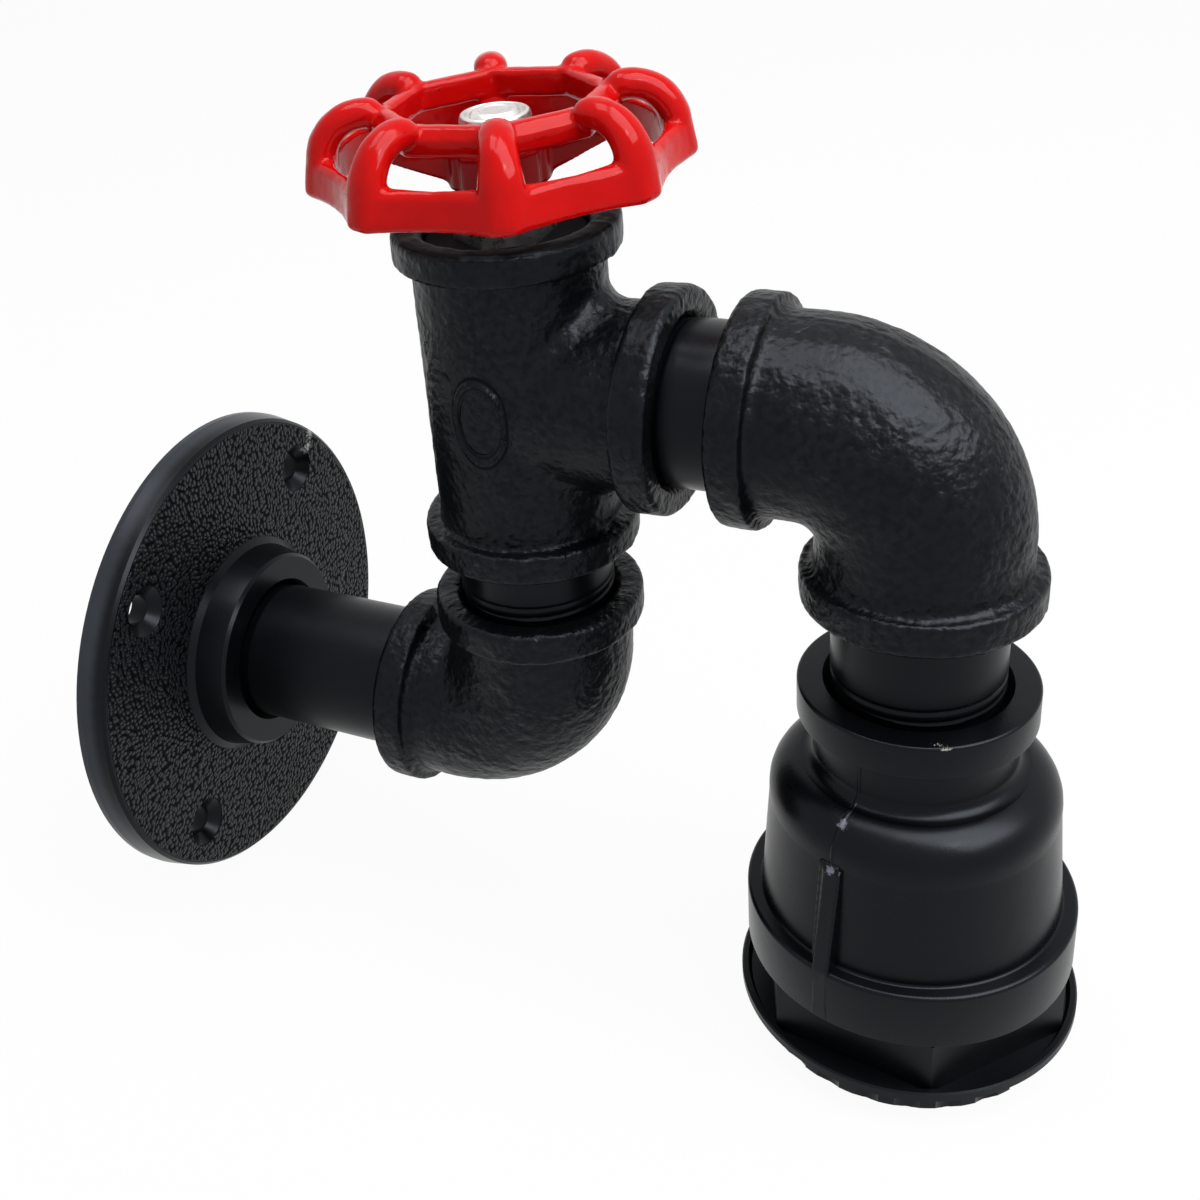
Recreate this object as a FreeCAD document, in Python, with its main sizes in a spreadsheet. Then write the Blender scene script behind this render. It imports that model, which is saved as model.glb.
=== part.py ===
import FreeCAD, Part
import math
import os
import Sketcher

# Pipe wall light: a wall flange carries a riser of malleable fittings, a tee
# with a handwheel switch on top, and a bell-shaped lamp head that hangs down.
# Origin: centre of the flange's back face, on the wall. The wall is the plane
# y = 0, the lamp stands out along -Y, and Z is up. Millimetres.

doc = FreeCAD.newDocument("pipe_wall_light")
sheet = doc.addObject("Spreadsheet::Sheet", "Dimensions")

DRIVING = [
    # three-quarter inch pipe and its threads
    ("pipe_radius", 13.35),
    ("pipe_bore", 10.9),
    ("thread_radius", 13.1),
    ("thread_length", 14.6),
    ("engagement", 12.0),
    ("end_chamfer", 0.6),
    ("mouth_radius", 14.5),
    ("mouth_depth", 1.6),
    ("swivel_gap", 0.06),
    # elbows and tee
    ("elbow_reach", 28.0),
    ("elbow_bend", 17.0),
    ("elbow_body", 16.0),
    ("elbow_band", 5.7),
    ("band_radius", 18.2),
    ("band_edge", 0.7),
    ("band_foot", 0.8),
    ("waterway", 12.4),
    ("tee_half", 28.5),
    ("tee_branch", 28.7),
    ("tee_body", 15.5),
    ("branch_body", 15.3),
    ("tee_band", 5.3),
    ("branch_band", 5.9),
    ("tee_web", 5.0),
    # where the fittings stand
    ("riser_reach", 73.0),
    ("riser_gap", 9.9),
    ("branch_gap", 8.8),
    ("lamp_gap", 15.3),
    # wall flange
    ("flange_radius", 46.8),
    ("flange_front", 46.1),
    ("flange_thick", 5.8),
    ("flange_turn", 3.5),
    ("hub_face", 12.9),
    ("hub_radius", 19.6),
    ("hub_root", 21.0),
    ("hub_foot", 1.2),
    ("screw_circle", 37.2),
    ("screw_hole", 2.9),
    ("screw_sink", 5.0),
    # lamp head
    ("collar_radius", 18.5),
    ("collar_height", 6.0),
    ("collar_foot", 0.5),
    ("neck_radius", 15.7),
    ("neck_foot", 15.2),
    ("neck_round", 1.4),
    ("shoulder_radius", 22.9),
    ("shoulder_drop", 23.6),
    ("shoulder_round", 6.8),
    ("wall_radius", 24.3),
    ("wall_drop", 42.5),
    ("bell_height", 53.2),
    ("bell_radius", 26.8),
    ("bell_bore", 21.4),
    ("bell_cavity", 20.6),
    ("seam_width", 3.9),
    ("seam_turn", 162.0),
    ("hex_corner", 26.8),
    ("hex_turn", 22.5),
    ("hex_drop", 10.3),
    ("lip_radius", 28.1),
    ("lip_inner", 26.7),
    ("lip_rise", 1.2),
    ("flange_under", 0.9),
    ("ring_radius", 25.3),
    ("ring_height", 5.3),
    ("ring_flute", 3.0),
    ("skirt_radius", 19.4),
    ("skirt_length", 6.5),
    # lampholder inside
    ("lamp_thread", 13.3),
    ("shell_wall", 0.5),
    ("shell_length", 21.0),
    ("insert_radius", 14.6),
    ("insert_thick", 10.5),
    ("contact_well", 4.0),
    ("contact_radius", 11.0),
    ("contact_turn", 30.0),
    # handwheel and switch
    ("wheel_base", 101.6),
    ("wheel_turn", 27.8),
    ("rim_radius", 30.2),
    ("rim_draft", 0.9),
    ("rim_height", 6.0),
    ("rim_valley", 27.2),
    ("rim_round", 0.8),
    ("valley_curve", 40.0),
    ("rim_inner", 25.0),
    ("ring_corner", 19.3),
    ("ring_hollow", 15.5),
    ("ring_low", 8.0),
    ("ring_top", 12.2),
    ("ring_round", 1.2),
    ("arch_top", 14.1),
    ("arch_bend", 7.0),
    ("arch_start", 17.0),
    ("arch_knee", 20.0),
    ("arch_lean", 10.0),
    ("arch_foot", 0.6),
    ("arch_width", 6.2),
    ("arch_thick", 4.4),
    ("boss_radius", 8.1),
    ("boss_low", -1.0),
    ("boss_top", 5.4),
    ("seat_radius", 6.0),
    ("seat_top", 8.1),
    ("spoke_width", 4.6),
    ("washer_radius", 5.6),
    ("washer_thick", 0.9),
    ("screw_head", 4.0),
    ("screw_rise", 1.3),
    ("spindle_radius", 3.0),
    ("spindle_gap", 0.06),
    ("neck_thread", 4.9),
    ("nut_corner", 8.1),
    ("nut_thick", 2.4),
    ("bush_depth", 2.6),
    ("bush_thick", 7.0),
    ("switch_radius", 9.8),
    ("switch_height", 12.0),
    # wiring inside the pipes
    ("cable_radius", 3.1),
    ("cable_bend", 14.0),
    ("core_radius", 1.1),
    ("core_spread", 1.6),
    ("core_bend", 5.0),
    ("strip_level", 54.0),
    ("strip_reach", 16.0),
    ("cable_drop", 8.0),
    ("terminal_reach", 8.0),
    ("terminal_radius", 1.9),
    ("well_depth", 4.0),
    ("terminal_height", 2.4),
]

for row, (alias, value) in enumerate(DRIVING, start=1):
    sheet.set("A%d" % row, alias)
    sheet.set("B%d" % row, repr(value))
    sheet.setAlias("B%d" % row, alias)

DERIVED = [
    # height of the tee's centre, and the lamp's axis
    ("tee_level", "=elbow_reach + riser_gap + tee_half"),
    ("lamp_reach", "=riser_reach + tee_branch + branch_gap + elbow_reach"),
    ("bell_top", "=tee_level - elbow_reach - lamp_gap"),
    ("bell_foot", "=bell_top - bell_height"),
    ("dish_floor", "=bell_foot - hex_drop"),
    ("tee_top", "=tee_level + tee_half"),
    ("bush_top", "=tee_top - bush_depth"),
    ("seat_level", "=wheel_base + seat_top"),
    ("mouth_level", "=dish_floor - skirt_length"),
    ("insert_level", "=mouth_level + shell_length + 1"),
    ("swivel_level", "=elbow_reach + riser_gap + engagement"),
    ("swivel_reach", "=riser_reach + tee_branch + branch_gap + engagement"),
    ("case_level", "=bush_top - bush_thick - switch_height"),
    ("screw_level", "=insert_level + insert_thick - well_depth + terminal_height"),
]

for row, (alias, formula) in enumerate(DERIVED, start=len(DRIVING) + 2):
    sheet.set("A%d" % row, alias)
    sheet.set("B%d" % row, formula)
    sheet.setAlias("B%d" % row, alias)

doc.recompute()

LOBES = 8
SPOKES = 4
FLUTES = 24
BOSS_FACETS = 10

parts = []


def size(alias):
    """The value of one cell of the sheet."""
    return float(sheet.get(alias))


def bound(text):
    """An expression with each alias written as a reference to the sheet."""
    names = sorted([a for a, _ in DRIVING + DERIVED], key=len, reverse=True)
    words = []
    word = ""
    for char in text + " ":
        if char.isalnum() or char == "_":
            word += char
            continue
        words.append("Dimensions." + word if word in names else word)
        words.append(char)
        word = ""
    return "".join(words).strip()


def new_body(name):
    """A body that is one sub-part."""
    body = doc.addObject("PartDesign::Body", name)
    body.Label = name
    parts.append(body)
    return body


def origin_plane(body, role):
    """One of the body's own origin planes."""
    return next(f for f in body.Origin.OriginFeatures if f.Role == role)


def new_sketch(body, name, role, offset=None):
    """A sketch on an origin plane, moved along its normal by an expression."""
    sketch = body.newObject("Sketcher::SketchObject", body.Name + "_" + name)
    sketch.AttachmentSupport = [(origin_plane(body, role), "")]
    sketch.MapMode = "FlatFace"
    if offset is not None:
        sketch.setExpression("AttachmentOffset.Base.z", bound(offset))
    return sketch


def pin_point(sketch, geometry, end, across, along):
    """Hold one end of a curve at two expressions from the sketch's origin."""
    for kind, text in (("DistanceX", across), ("DistanceY", along)):
        value = float(sketch.evalExpression(bound(text)))
        index = sketch.addConstraint(Sketcher.Constraint(kind, -1, 1, geometry, end, value))
        sketch.setExpression("Constraints[%d]" % index, bound(text))


def pin_level(sketch, geometry, end, along):
    """Hold only the height of one end of a curve."""
    value = float(sketch.evalExpression(bound(along)))
    index = sketch.addConstraint(Sketcher.Constraint("DistanceY", -1, 1, geometry, end, value))
    sketch.setExpression("Constraints[%d]" % index, bound(along))


def pin_across(sketch, geometry, end, across):
    """Hold only the sideways place of one end of a curve."""
    value = float(sketch.evalExpression(bound(across)))
    index = sketch.addConstraint(Sketcher.Constraint("DistanceX", -1, 1, geometry, end, value))
    sketch.setExpression("Constraints[%d]" % index, bound(across))


def outline(sketch, corners):
    """A closed outline of straight sides through corners given as expressions."""
    points = []
    for across, along in corners:
        x = float(sketch.evalExpression(bound(across)))
        y = float(sketch.evalExpression(bound(along)))
        points.append(FreeCAD.Vector(x, y, 0))
    count = len(points)
    first = sketch.GeometryCount
    for i in range(count):
        sketch.addGeometry(Part.LineSegment(points[i], points[(i + 1) % count]), False)
    for i in range(count):
        sketch.addConstraint(Sketcher.Constraint("Coincident", first + i, 2, first + (i + 1) % count, 1))
    for i, (across, along) in enumerate(corners):
        pin_point(sketch, first + i, 1, across, along)


def polygon(sketch, radius, sides):
    """A regular outline with a corner on the sketch's first axis."""
    step = 360.0 / sides
    outline(sketch, [
        ("%s * cos(%gdeg)" % (radius, step * i), "%s * sin(%gdeg)" % (radius, step * i)) for i in range(sides)
    ])


def circle(sketch, radius, across="0", along="0"):
    """A circle with its radius and centre bound to expressions."""
    value = float(sketch.evalExpression(bound(radius)))
    x = float(sketch.evalExpression(bound(across)))
    y = float(sketch.evalExpression(bound(along)))
    index = sketch.addGeometry(Part.Circle(FreeCAD.Vector(x, y, 0), FreeCAD.Vector(0, 0, 1), value), False)
    rule = sketch.addConstraint(Sketcher.Constraint("Radius", index, value))
    sketch.setExpression("Constraints[%d]" % rule, bound(radius))
    pin_point(sketch, index, 3, across, along)


def feature(body, kind, name, sketch, **settings):
    """A sketched feature with its settings."""
    item = body.newObject("PartDesign::" + kind, body.Name + "_" + name)
    item.Profile = sketch
    sketch.Visibility = False
    for key, value in settings.items():
        setattr(item, key, value)
    return item


def turned(body, name, corners, axis="V_Axis", kind="Revolution"):
    """A profile in the YZ plane turned fully round one of its axes."""
    sketch = new_sketch(body, name + "_profile", "YZ_Plane")
    outline(sketch, corners)
    return feature(body, kind, name, sketch, ReferenceAxis=(sketch, [axis]), Angle=360.0)


def pad(body, name, sketch, length, kind="Pad", **settings):
    """A pad or pocket whose length is an expression."""
    item = feature(body, kind, name, sketch, **settings)
    item.setExpression("Length", bound(length))
    return item


def around(body, name, original, count):
    """A polar pattern of one feature round the body's Z axis."""
    item = body.newObject("PartDesign::PolarPattern", body.Name + "_" + name)
    item.Originals = [original]
    axis = next(f for f in body.Origin.OriginFeatures if f.Role == "Z_Axis")
    item.Axis = (axis, [""])
    item.Angle = 360.0
    item.Occurrences = count
    body.Tip = item
    return item


def soften(body, name, radius, test, kind="Chamfer"):
    """A chamfer or fillet on the edges of the body's tip that pass the test."""
    doc.recompute()
    base = body.Tip
    names = []
    for number, edge in enumerate(base.Shape.Edges, start=1):
        if test(edge):
            names.append("Edge%d" % number)
    item = body.newObject("PartDesign::" + kind, body.Name + "_" + name)
    item.Base = (base, names)
    item.setExpression("Radius" if kind == "Fillet" else "Size", bound(radius))
    return item


def bent_path(body, name, radius, bend, start, knee, finish, side="0", kind="AdditivePipe"):
    """A round bar swept along a square knee in the plane x = side.

    start, knee and finish are pairs of expressions for Y and Z. The first leg
    runs along Y or along Z, and the knee is rounded with the radius bend.
    """
    spine = new_sketch(body, name + "_spine", "YZ_Plane", side)

    def value(text):
        return float(spine.evalExpression(bound(text)))

    def toward(end):
        """The knee's tangent point on the leg that goes to this end."""
        point = []
        for i in (0, 1):
            step = value(end[i]) - value(knee[i])
            if abs(step) < 1e-6:
                point.append(knee[i])
            else:
                point.append("(%s) %s %s" % (knee[i], "+" if step > 0 else "-", bend))
        return point

    first = toward(start)
    second = toward(finish)
    along_y = abs(value(start[1]) - value(knee[1])) < 1e-6
    centre = (first[0], second[1]) if along_y else (second[0], first[1])
    points = [FreeCAD.Vector(value(a), value(b), 0) for a, b in (start, first, centre, second, finish)]
    spoke = points[1] - points[2]
    other = points[3] - points[2]
    angles = [math.atan2(v.y, v.x) % (2 * math.pi) for v in (spoke, other)]
    forward = (angles[1] - angles[0]) % (2 * math.pi) < math.pi
    begin, stop = angles if forward else angles[::-1]
    if stop < begin:
        stop += 2 * math.pi
    round_edge = Part.Circle(points[2], FreeCAD.Vector(0, 0, 1), value(bend))
    spine.addGeometry(Part.LineSegment(points[0], points[1]), False)
    spine.addGeometry(Part.ArcOfCircle(round_edge, begin, stop), False)
    spine.addGeometry(Part.LineSegment(points[3], points[4]), False)
    near, far = (1, 2) if forward else (2, 1)
    spine.addConstraint(Sketcher.Constraint("Coincident", 0, 2, 1, near))
    spine.addConstraint(Sketcher.Constraint("Coincident", 1, far, 2, 1))
    pin_point(spine, 0, 1, *start)
    pin_point(spine, 0, 2, *first)
    pin_point(spine, 1, 3, *centre)
    if along_y:
        pin_level(spine, 2, 1, second[1])
    else:
        pin_across(spine, 2, 1, second[0])
    pin_point(spine, 2, 2, *finish)
    if along_y:
        section = new_sketch(body, name + "_section", "XZ_Plane", "-(%s)" % start[0])
        circle(section, radius, side, start[1])
    else:
        section = new_sketch(body, name + "_section", "XY_Plane", start[1])
        circle(section, radius, side, start[0])
    return feature(body, kind, name, section, Spine=(spine, []))


def place(body, x="0", y="0", z="0", turn=None):
    """Put a finished body in the frame of the light."""
    if turn is not None:
        axis, angle = turn
        body.Placement = FreeCAD.Placement(FreeCAD.Vector(), FreeCAD.Rotation(axis, angle))
    for key, text in (("x", x), ("y", y), ("z", z)):
        body.setExpression("Placement.Base." + key, bound(text))


X_AXIS = FreeCAD.Vector(1, 0, 0)
Y_AXIS = FreeCAD.Vector(0, 1, 0)
Z_AXIS = FreeCAD.Vector(0, 0, 1)


# Wall flange

def make_wall_flange():
    """Cast disc with a threaded hub, four countersunk screw holes and a bore."""
    body = new_body("wall_flange")
    turned(body, "casting", [
        ("0", "thread_radius"),
        ("0", "flange_radius"),
        ("-1.2", "flange_radius"),
        ("-flange_thick + 0.6", "flange_front"),
        ("-flange_thick", "flange_front - 0.6"),
        ("-flange_thick", "hub_root"),
        ("-hub_face + 0.6", "hub_radius"),
        ("-hub_face", "hub_radius - 0.6"),
        ("-hub_face", "mouth_radius"),
        ("-hub_face + mouth_depth", "thread_radius"),
    ], axis="H_Axis")

    def hub_foot(edge):
        curve = edge.Curve
        on_face = abs(edge.CenterOfMass.y + size("flange_thick")) < 0.01
        return on_face and hasattr(curve, "Radius") and abs(curve.Radius - size("hub_root")) < 0.01

    soften(body, "hub_root_break", "hub_foot", hub_foot)
    drill = new_sketch(body, "drill", "XZ_Plane", "flange_thick")
    circle(drill, "screw_hole", "screw_circle * cos(45deg)", "screw_circle * sin(45deg)")
    hole = pad(body, "screw_hole", drill, "flange_thick + 1", kind="Pocket", Type=1)
    sink = new_sketch(body, "sink", "XZ_Plane", "flange_thick")
    circle(sink, "screw_sink", "screw_circle * cos(45deg)", "screw_circle * sin(45deg)")
    cone = pad(body, "countersink", sink, "screw_sink - screw_hole", kind="Pocket")
    cone.TaperAngle = -45.0
    pattern = body.newObject("PartDesign::PolarPattern", "wall_flange_screw_holes")
    pattern.Originals = [hole, cone]
    pattern.Axis = (next(f for f in body.Origin.OriginFeatures if f.Role == "Y_Axis"), [""])
    pattern.Angle = 360.0
    pattern.Occurrences = 4
    body.Tip = pattern
    place(body, turn=(Y_AXIS, -size("flange_turn")))
    return body


# Nipples

def make_nipple(name, length):
    """Plain pipe with a thread at both ends, standing on its lower end."""
    body = new_body(name)
    turned(body, "pipe", [
        ("pipe_bore", "0"),
        ("thread_radius - end_chamfer", "0"),
        ("thread_radius", "end_chamfer"),
        ("thread_radius", "thread_length"),
        ("pipe_radius", "thread_length + 0.25"),
        ("pipe_radius", length + " - thread_length - 0.25"),
        ("thread_radius", length + " - thread_length"),
        ("thread_radius", length + " - end_chamfer"),
        ("thread_radius - end_chamfer", length),
        ("pipe_bore", length),
    ])
    return body


# Elbows and tee

def band_profile(reach, width, inner):
    """Half section of a band at a fitting's mouth: distance out, then radius."""
    return [
        (reach + " - " + width, inner),
        (reach + " - " + width, "band_radius - 0.3"),
        (reach + " - " + width + " + 0.5", "band_radius"),
        (reach + " - band_edge", "band_radius"),
        (reach, "band_radius - band_edge"),
        (reach, inner),
    ]


def socket_profile(reach, radius, axis_point="0"):
    """Half section of the hole that a pipe is screwed into, with its mouth."""
    return [
        (reach + " - engagement", axis_point),
        (reach + " - engagement", radius),
        (reach + " - mouth_depth", radius),
        (reach, "mouth_radius"),
        (reach + " + 1", "mouth_radius"),
        (reach + " + 1", axis_point),
    ]


def swapped(corners):
    """The same section for a mouth on the other axis of the sketch."""
    return [(along, across) for across, along in corners]


def mirrored_down(corners):
    """The same section for a mouth that faces the other way."""
    return [("-(" + across + ")", along) for across, along in corners]


def make_elbow(name, inlet_radius, outlet_radius):
    """Quarter bend between two banded mouths, facing +Y and +Z."""
    body = new_body(name)
    mouth = "elbow_reach - 1"
    bent_path(body, "wall", "elbow_body", "elbow_bend", (mouth, "0"), ("0", "0"), ("0", mouth))
    turned(body, "inlet_band", band_profile("elbow_reach", "elbow_band", "0"), axis="H_Axis")
    turned(body, "outlet_band", swapped(band_profile("elbow_reach", "elbow_band", "0")))
    bent_path(body, "bore", "waterway", "elbow_bend", (mouth, "0"), ("0", "0"), ("0", mouth),
              kind="SubtractivePipe")
    turned(body, "inlet_socket", socket_profile("elbow_reach", inlet_radius), axis="H_Axis", kind="Groove")
    turned(body, "outlet_socket", swapped(socket_profile("elbow_reach", outlet_radius)), kind="Groove")

    def band_foot(edge):
        if not hasattr(edge.Curve, "Radius"):
            return False
        if abs(edge.Curve.Radius - size("elbow_body")) > 0.01:
            return False
        centre = edge.Curve.Center
        foot = size("elbow_reach") - size("elbow_band")
        return abs(centre.y - foot) < 0.01 or abs(centre.z - foot) < 0.01

    soften(body, "band_root_break", "band_foot", band_foot)
    return body


def make_tee():
    """Run along Z with banded mouths up and down, and a branch along -Y."""
    body = new_body("tee")
    turned(body, "run", [
        ("0", "-tee_half"),
        ("band_radius - band_edge", "-tee_half"),
        ("band_radius", "-tee_half + band_edge"),
        ("band_radius", "-tee_half + tee_band - 0.5"),
        ("band_radius - 0.3", "-tee_half + tee_band"),
        ("tee_body", "-tee_half + tee_band"),
        ("tee_body", "tee_half - tee_band"),
        ("band_radius - 0.3", "tee_half - tee_band"),
        ("band_radius", "tee_half - tee_band + 0.5"),
        ("band_radius", "tee_half - band_edge"),
        ("band_radius - band_edge", "tee_half"),
        ("0", "tee_half"),
    ])
    turned(body, "branch", [
        ("0", "0"),
        ("0", "branch_body"),
        ("-tee_branch + branch_band", "branch_body"),
        ("-tee_branch + branch_band", "band_radius - 0.3"),
        ("-tee_branch + branch_band - 0.5", "band_radius"),
        ("-tee_branch + band_edge", "band_radius"),
        ("-tee_branch", "band_radius - band_edge"),
        ("-tee_branch", "0"),
    ], axis="H_Axis")

    def crotch(edge):
        box = edge.BoundBox
        inner = box.YMin > -size("tee_body") - 0.2 and box.YMax < 0.5
        return inner and abs(edge.CenterOfMass.y) > 1 and box.ZLength > 5 and box.XLength > 5

    soften(body, "crotch_web", "tee_web - 1", crotch, kind="Fillet")
    turned(body, "run_bore", [
        ("0", "-tee_half + engagement"),
        ("waterway", "-tee_half + engagement"),
        ("waterway", "tee_half - engagement"),
        ("0", "tee_half - engagement"),
    ], kind="Groove")
    turned(body, "branch_bore", [
        ("0", "0"),
        ("0", "waterway"),
        ("-tee_branch + engagement", "waterway"),
        ("-tee_branch + engagement", "0"),
    ], axis="H_Axis", kind="Groove")
    turned(body, "foot_socket", swapped(mirrored_down(socket_profile("tee_half", "thread_radius + swivel_gap"))),
           kind="Groove")
    turned(body, "top_socket", swapped(socket_profile("tee_half", "thread_radius")), kind="Groove")
    turned(body, "branch_socket", mirrored_down(socket_profile("tee_branch", "thread_radius")),
           axis="H_Axis", kind="Groove")
    return body


# Lamp head

def make_bell():
    """Reducing coupling: collar, neck, rounded shoulder, wall, band and two seam ribs."""
    body = new_body("bell_reducer")
    turned(body, "outside", [
        ("0", "0"),
        ("collar_radius - 0.6", "0"),
        ("collar_radius", "-0.6"),
        ("collar_radius", "-collar_height + 0.4"),
        ("collar_radius - 0.4", "-collar_height"),
        ("neck_radius", "-collar_height"),
        ("neck_radius", "-neck_foot"),
        ("shoulder_radius", "-neck_foot"),
        ("shoulder_radius", "-shoulder_drop"),
        ("wall_radius", "-wall_drop"),
        ("bell_radius - 0.6", "-wall_drop"),
        ("bell_radius", "-wall_drop - 0.6"),
        ("bell_radius", "-bell_height"),
        ("0", "-bell_height"),
    ])

    def ring_at(radius, level):
        def test(edge):
            if not hasattr(edge.Curve, "Radius"):
                return False
            return abs(edge.Curve.Radius - size(radius)) < 0.01 and abs(edge.Curve.Center.z + size(level)) < 0.01
        return test

    soften(body, "shoulder", "shoulder_round", ring_at("shoulder_radius", "neck_foot"), kind="Fillet")
    soften(body, "neck_root_break", "neck_round", ring_at("neck_radius", "neck_foot"))
    soften(body, "collar_root_break", "collar_foot", ring_at("neck_radius", "collar_height"))
    rib = new_sketch(body, "rib", "XZ_Plane")
    outline(rib, [
        ("wall_radius - 2.2", "-shoulder_drop - 0.6"),
        ("wall_radius + 0.7", "-shoulder_drop - 1.0"),
        ("bell_radius - 0.5", "-wall_drop - 0.5"),
        ("wall_radius - 2.2", "-wall_drop - 0.5"),
    ])
    seam = pad(body, "seam_rib", rib, "seam_width", Midplane=True)
    around(body, "seam_ribs", seam, 2)
    turned(body, "cavity", [
        ("0", "-engagement + 0.5"),
        ("waterway", "-engagement + 0.5"),
        ("waterway", "-neck_foot - 1.5"),
        ("bell_cavity - 1.5", "-shoulder_drop + 1.5"),
        ("bell_cavity", "-shoulder_drop - 3"),
        ("bell_cavity", "-bell_height + 14"),
        ("bell_bore", "-bell_height + 14"),
        ("bell_bore", "-bell_height + 1"),
        ("bell_bore + 0.8", "-bell_height"),
        ("bell_bore + 0.8", "-bell_height - 1"),
        ("0", "-bell_height - 1"),
    ], kind="Groove")
    turned(body, "top_socket", [
        ("0", "-engagement"),
        ("thread_radius", "-engagement"),
        ("thread_radius", "-mouth_depth"),
        ("mouth_radius", "0"),
        ("mouth_radius", "1"),
        ("0", "1"),
    ], kind="Groove")
    place(body, y="-lamp_reach", z="bell_top", turn=(Z_AXIS, size("seam_turn")))
    return body


def make_holder_shell():
    """Lampholder outside: threaded spigot, hexagon, dished flange and lower skirt."""
    body = new_body("holder_shell")
    hexagon = new_sketch(body, "hexagon", "XY_Plane", "-hex_drop")
    polygon(hexagon, "hex_corner", 6)
    pad(body, "hex_body", hexagon, "hex_drop")
    turned(body, "spigot", [
        ("0", "-1"),
        ("bell_bore", "-1"),
        ("bell_bore", "11.2"),
        ("bell_bore - 0.8", "12"),
        ("0", "12"),
    ])
    turned(body, "dish", [
        ("0", "-hex_drop - flange_under"),
        ("lip_radius - 0.4", "-hex_drop - flange_under"),
        ("lip_radius", "-hex_drop - flange_under + 0.4"),
        ("lip_radius", "-hex_drop + lip_rise - 0.3"),
        ("lip_radius - 0.3", "-hex_drop + lip_rise"),
        ("lip_inner + 0.3", "-hex_drop + lip_rise"),
        ("lip_inner - 0.3", "-hex_drop"),
        ("0", "-hex_drop + 1.5"),
    ])
    turned(body, "skirt", [
        ("0", "-hex_drop"),
        ("skirt_radius", "-hex_drop"),
        ("skirt_radius", "-hex_drop - skirt_length + 0.5"),
        ("skirt_radius - 0.5", "-hex_drop - skirt_length"),
        ("0", "-hex_drop - skirt_length"),
    ])
    turned(body, "lamp_bore", [
        ("0", "13"),
        ("insert_radius", "13"),
        ("insert_radius", "-hex_drop - skirt_length + shell_length + 1"),
        ("lamp_thread + shell_wall", "-hex_drop - skirt_length + shell_length + 1"),
        ("lamp_thread + shell_wall", "-hex_drop - skirt_length + 1.0"),
        ("lamp_thread + shell_wall + 1.2", "-hex_drop - skirt_length"),
        ("lamp_thread + shell_wall + 1.2", "-hex_drop - skirt_length - 1"),
        ("0", "-hex_drop - skirt_length - 1"),
    ], kind="Groove")
    place(body, y="-lamp_reach", z="bell_foot", turn=(Z_AXIS, size("hex_turn")))
    return body


def make_shade_ring():
    """Fluted ring that is screwed up under the flange to hold a shade."""
    body = new_body("shade_ring")
    turned(body, "ring", [
        ("skirt_radius", "0"),
        ("ring_radius", "0"),
        ("ring_radius", "-ring_height + 0.8"),
        ("ring_radius - 0.8", "-ring_height"),
        ("skirt_radius + 0.6", "-ring_height"),
        ("skirt_radius", "-ring_height + 0.6"),
    ])
    flute = new_sketch(body, "flute", "XY_Plane", "-ring_height - 1")
    circle(flute, "ring_flute", "ring_radius + ring_flute - 0.9")
    scoop = pad(body, "scoop", flute, "ring_height - 0.2", kind="Pocket", Reversed=True)
    around(body, "flutes", scoop, FLUTES)
    place(body, y="-lamp_reach", z="dish_floor - flange_under")
    return body


def make_holder_insert():
    """Round block inside the holder: a well below for the contact, two above for terminals."""
    body = new_body("holder_insert")
    turned(body, "block", [
        ("0", "contact_well"),
        ("contact_radius", "contact_well"),
        ("contact_radius", "0"),
        ("insert_radius", "0"),
        ("insert_radius", "insert_thick - 0.5"),
        ("insert_radius - 0.5", "insert_thick"),
        ("0", "insert_thick"),
    ])
    cuts = new_sketch(body, "terminals", "XY_Plane", "insert_thick")
    for side in ("", "-"):
        circle(cuts, "terminal_radius + 0.7", side + "terminal_reach")
    pad(body, "terminal_wells", cuts, "well_depth", kind="Pocket")
    place(body, y="-lamp_reach", z="insert_level")
    return body


def make_thread_shell():
    """Screw shell that takes the bulb's cap."""
    body = new_body("thread_shell")
    turned(body, "shell", [
        ("lamp_thread", "0"),
        ("lamp_thread + shell_wall", "0"),
        ("lamp_thread + shell_wall", "shell_length"),
        ("lamp_thread", "shell_length"),
    ])
    place(body, y="-lamp_reach", z="insert_level - shell_length")
    return body


def make_centre_contact():
    """Sprung tongue at the bottom of the socket, fixed by one rivet."""
    body = new_body("centre_contact")
    tongue = new_sketch(body, "tongue", "XZ_Plane")
    outline(tongue, [
        ("-7.5", "0"),
        ("-7.5", "-0.5"),
        ("-4.5", "-0.5"),
        ("-1.0", "-3.4"),
        ("2.6", "-3.0"),
        ("3.4", "-2.2"),
        ("2.9", "-1.9"),
        ("2.2", "-2.5"),
        ("-0.8", "-2.9"),
        ("-4.1", "0"),
    ])
    pad(body, "strip", tongue, "5", Midplane=True)
    rivet = new_sketch(body, "rivet", "XY_Plane", "-0.4")
    circle(rivet, "1.2", "-6")
    pad(body, "rivet_head", rivet, "0.7", Reversed=True)
    place(body, y="-lamp_reach", z="insert_level + contact_well", turn=(Z_AXIS, size("contact_turn")))
    return body


def make_terminal_screws():
    """Two screws in the wells of the insert."""
    body = new_body("terminal_screws")
    heads = new_sketch(body, "heads", "XY_Plane")
    for side in ("", "-"):
        circle(heads, "terminal_radius", side + "terminal_reach")
    pad(body, "screws", heads, "terminal_height")
    place(body, y="-lamp_reach", z="insert_level + insert_thick - well_depth")
    return body


# Switch and handwheel

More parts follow.
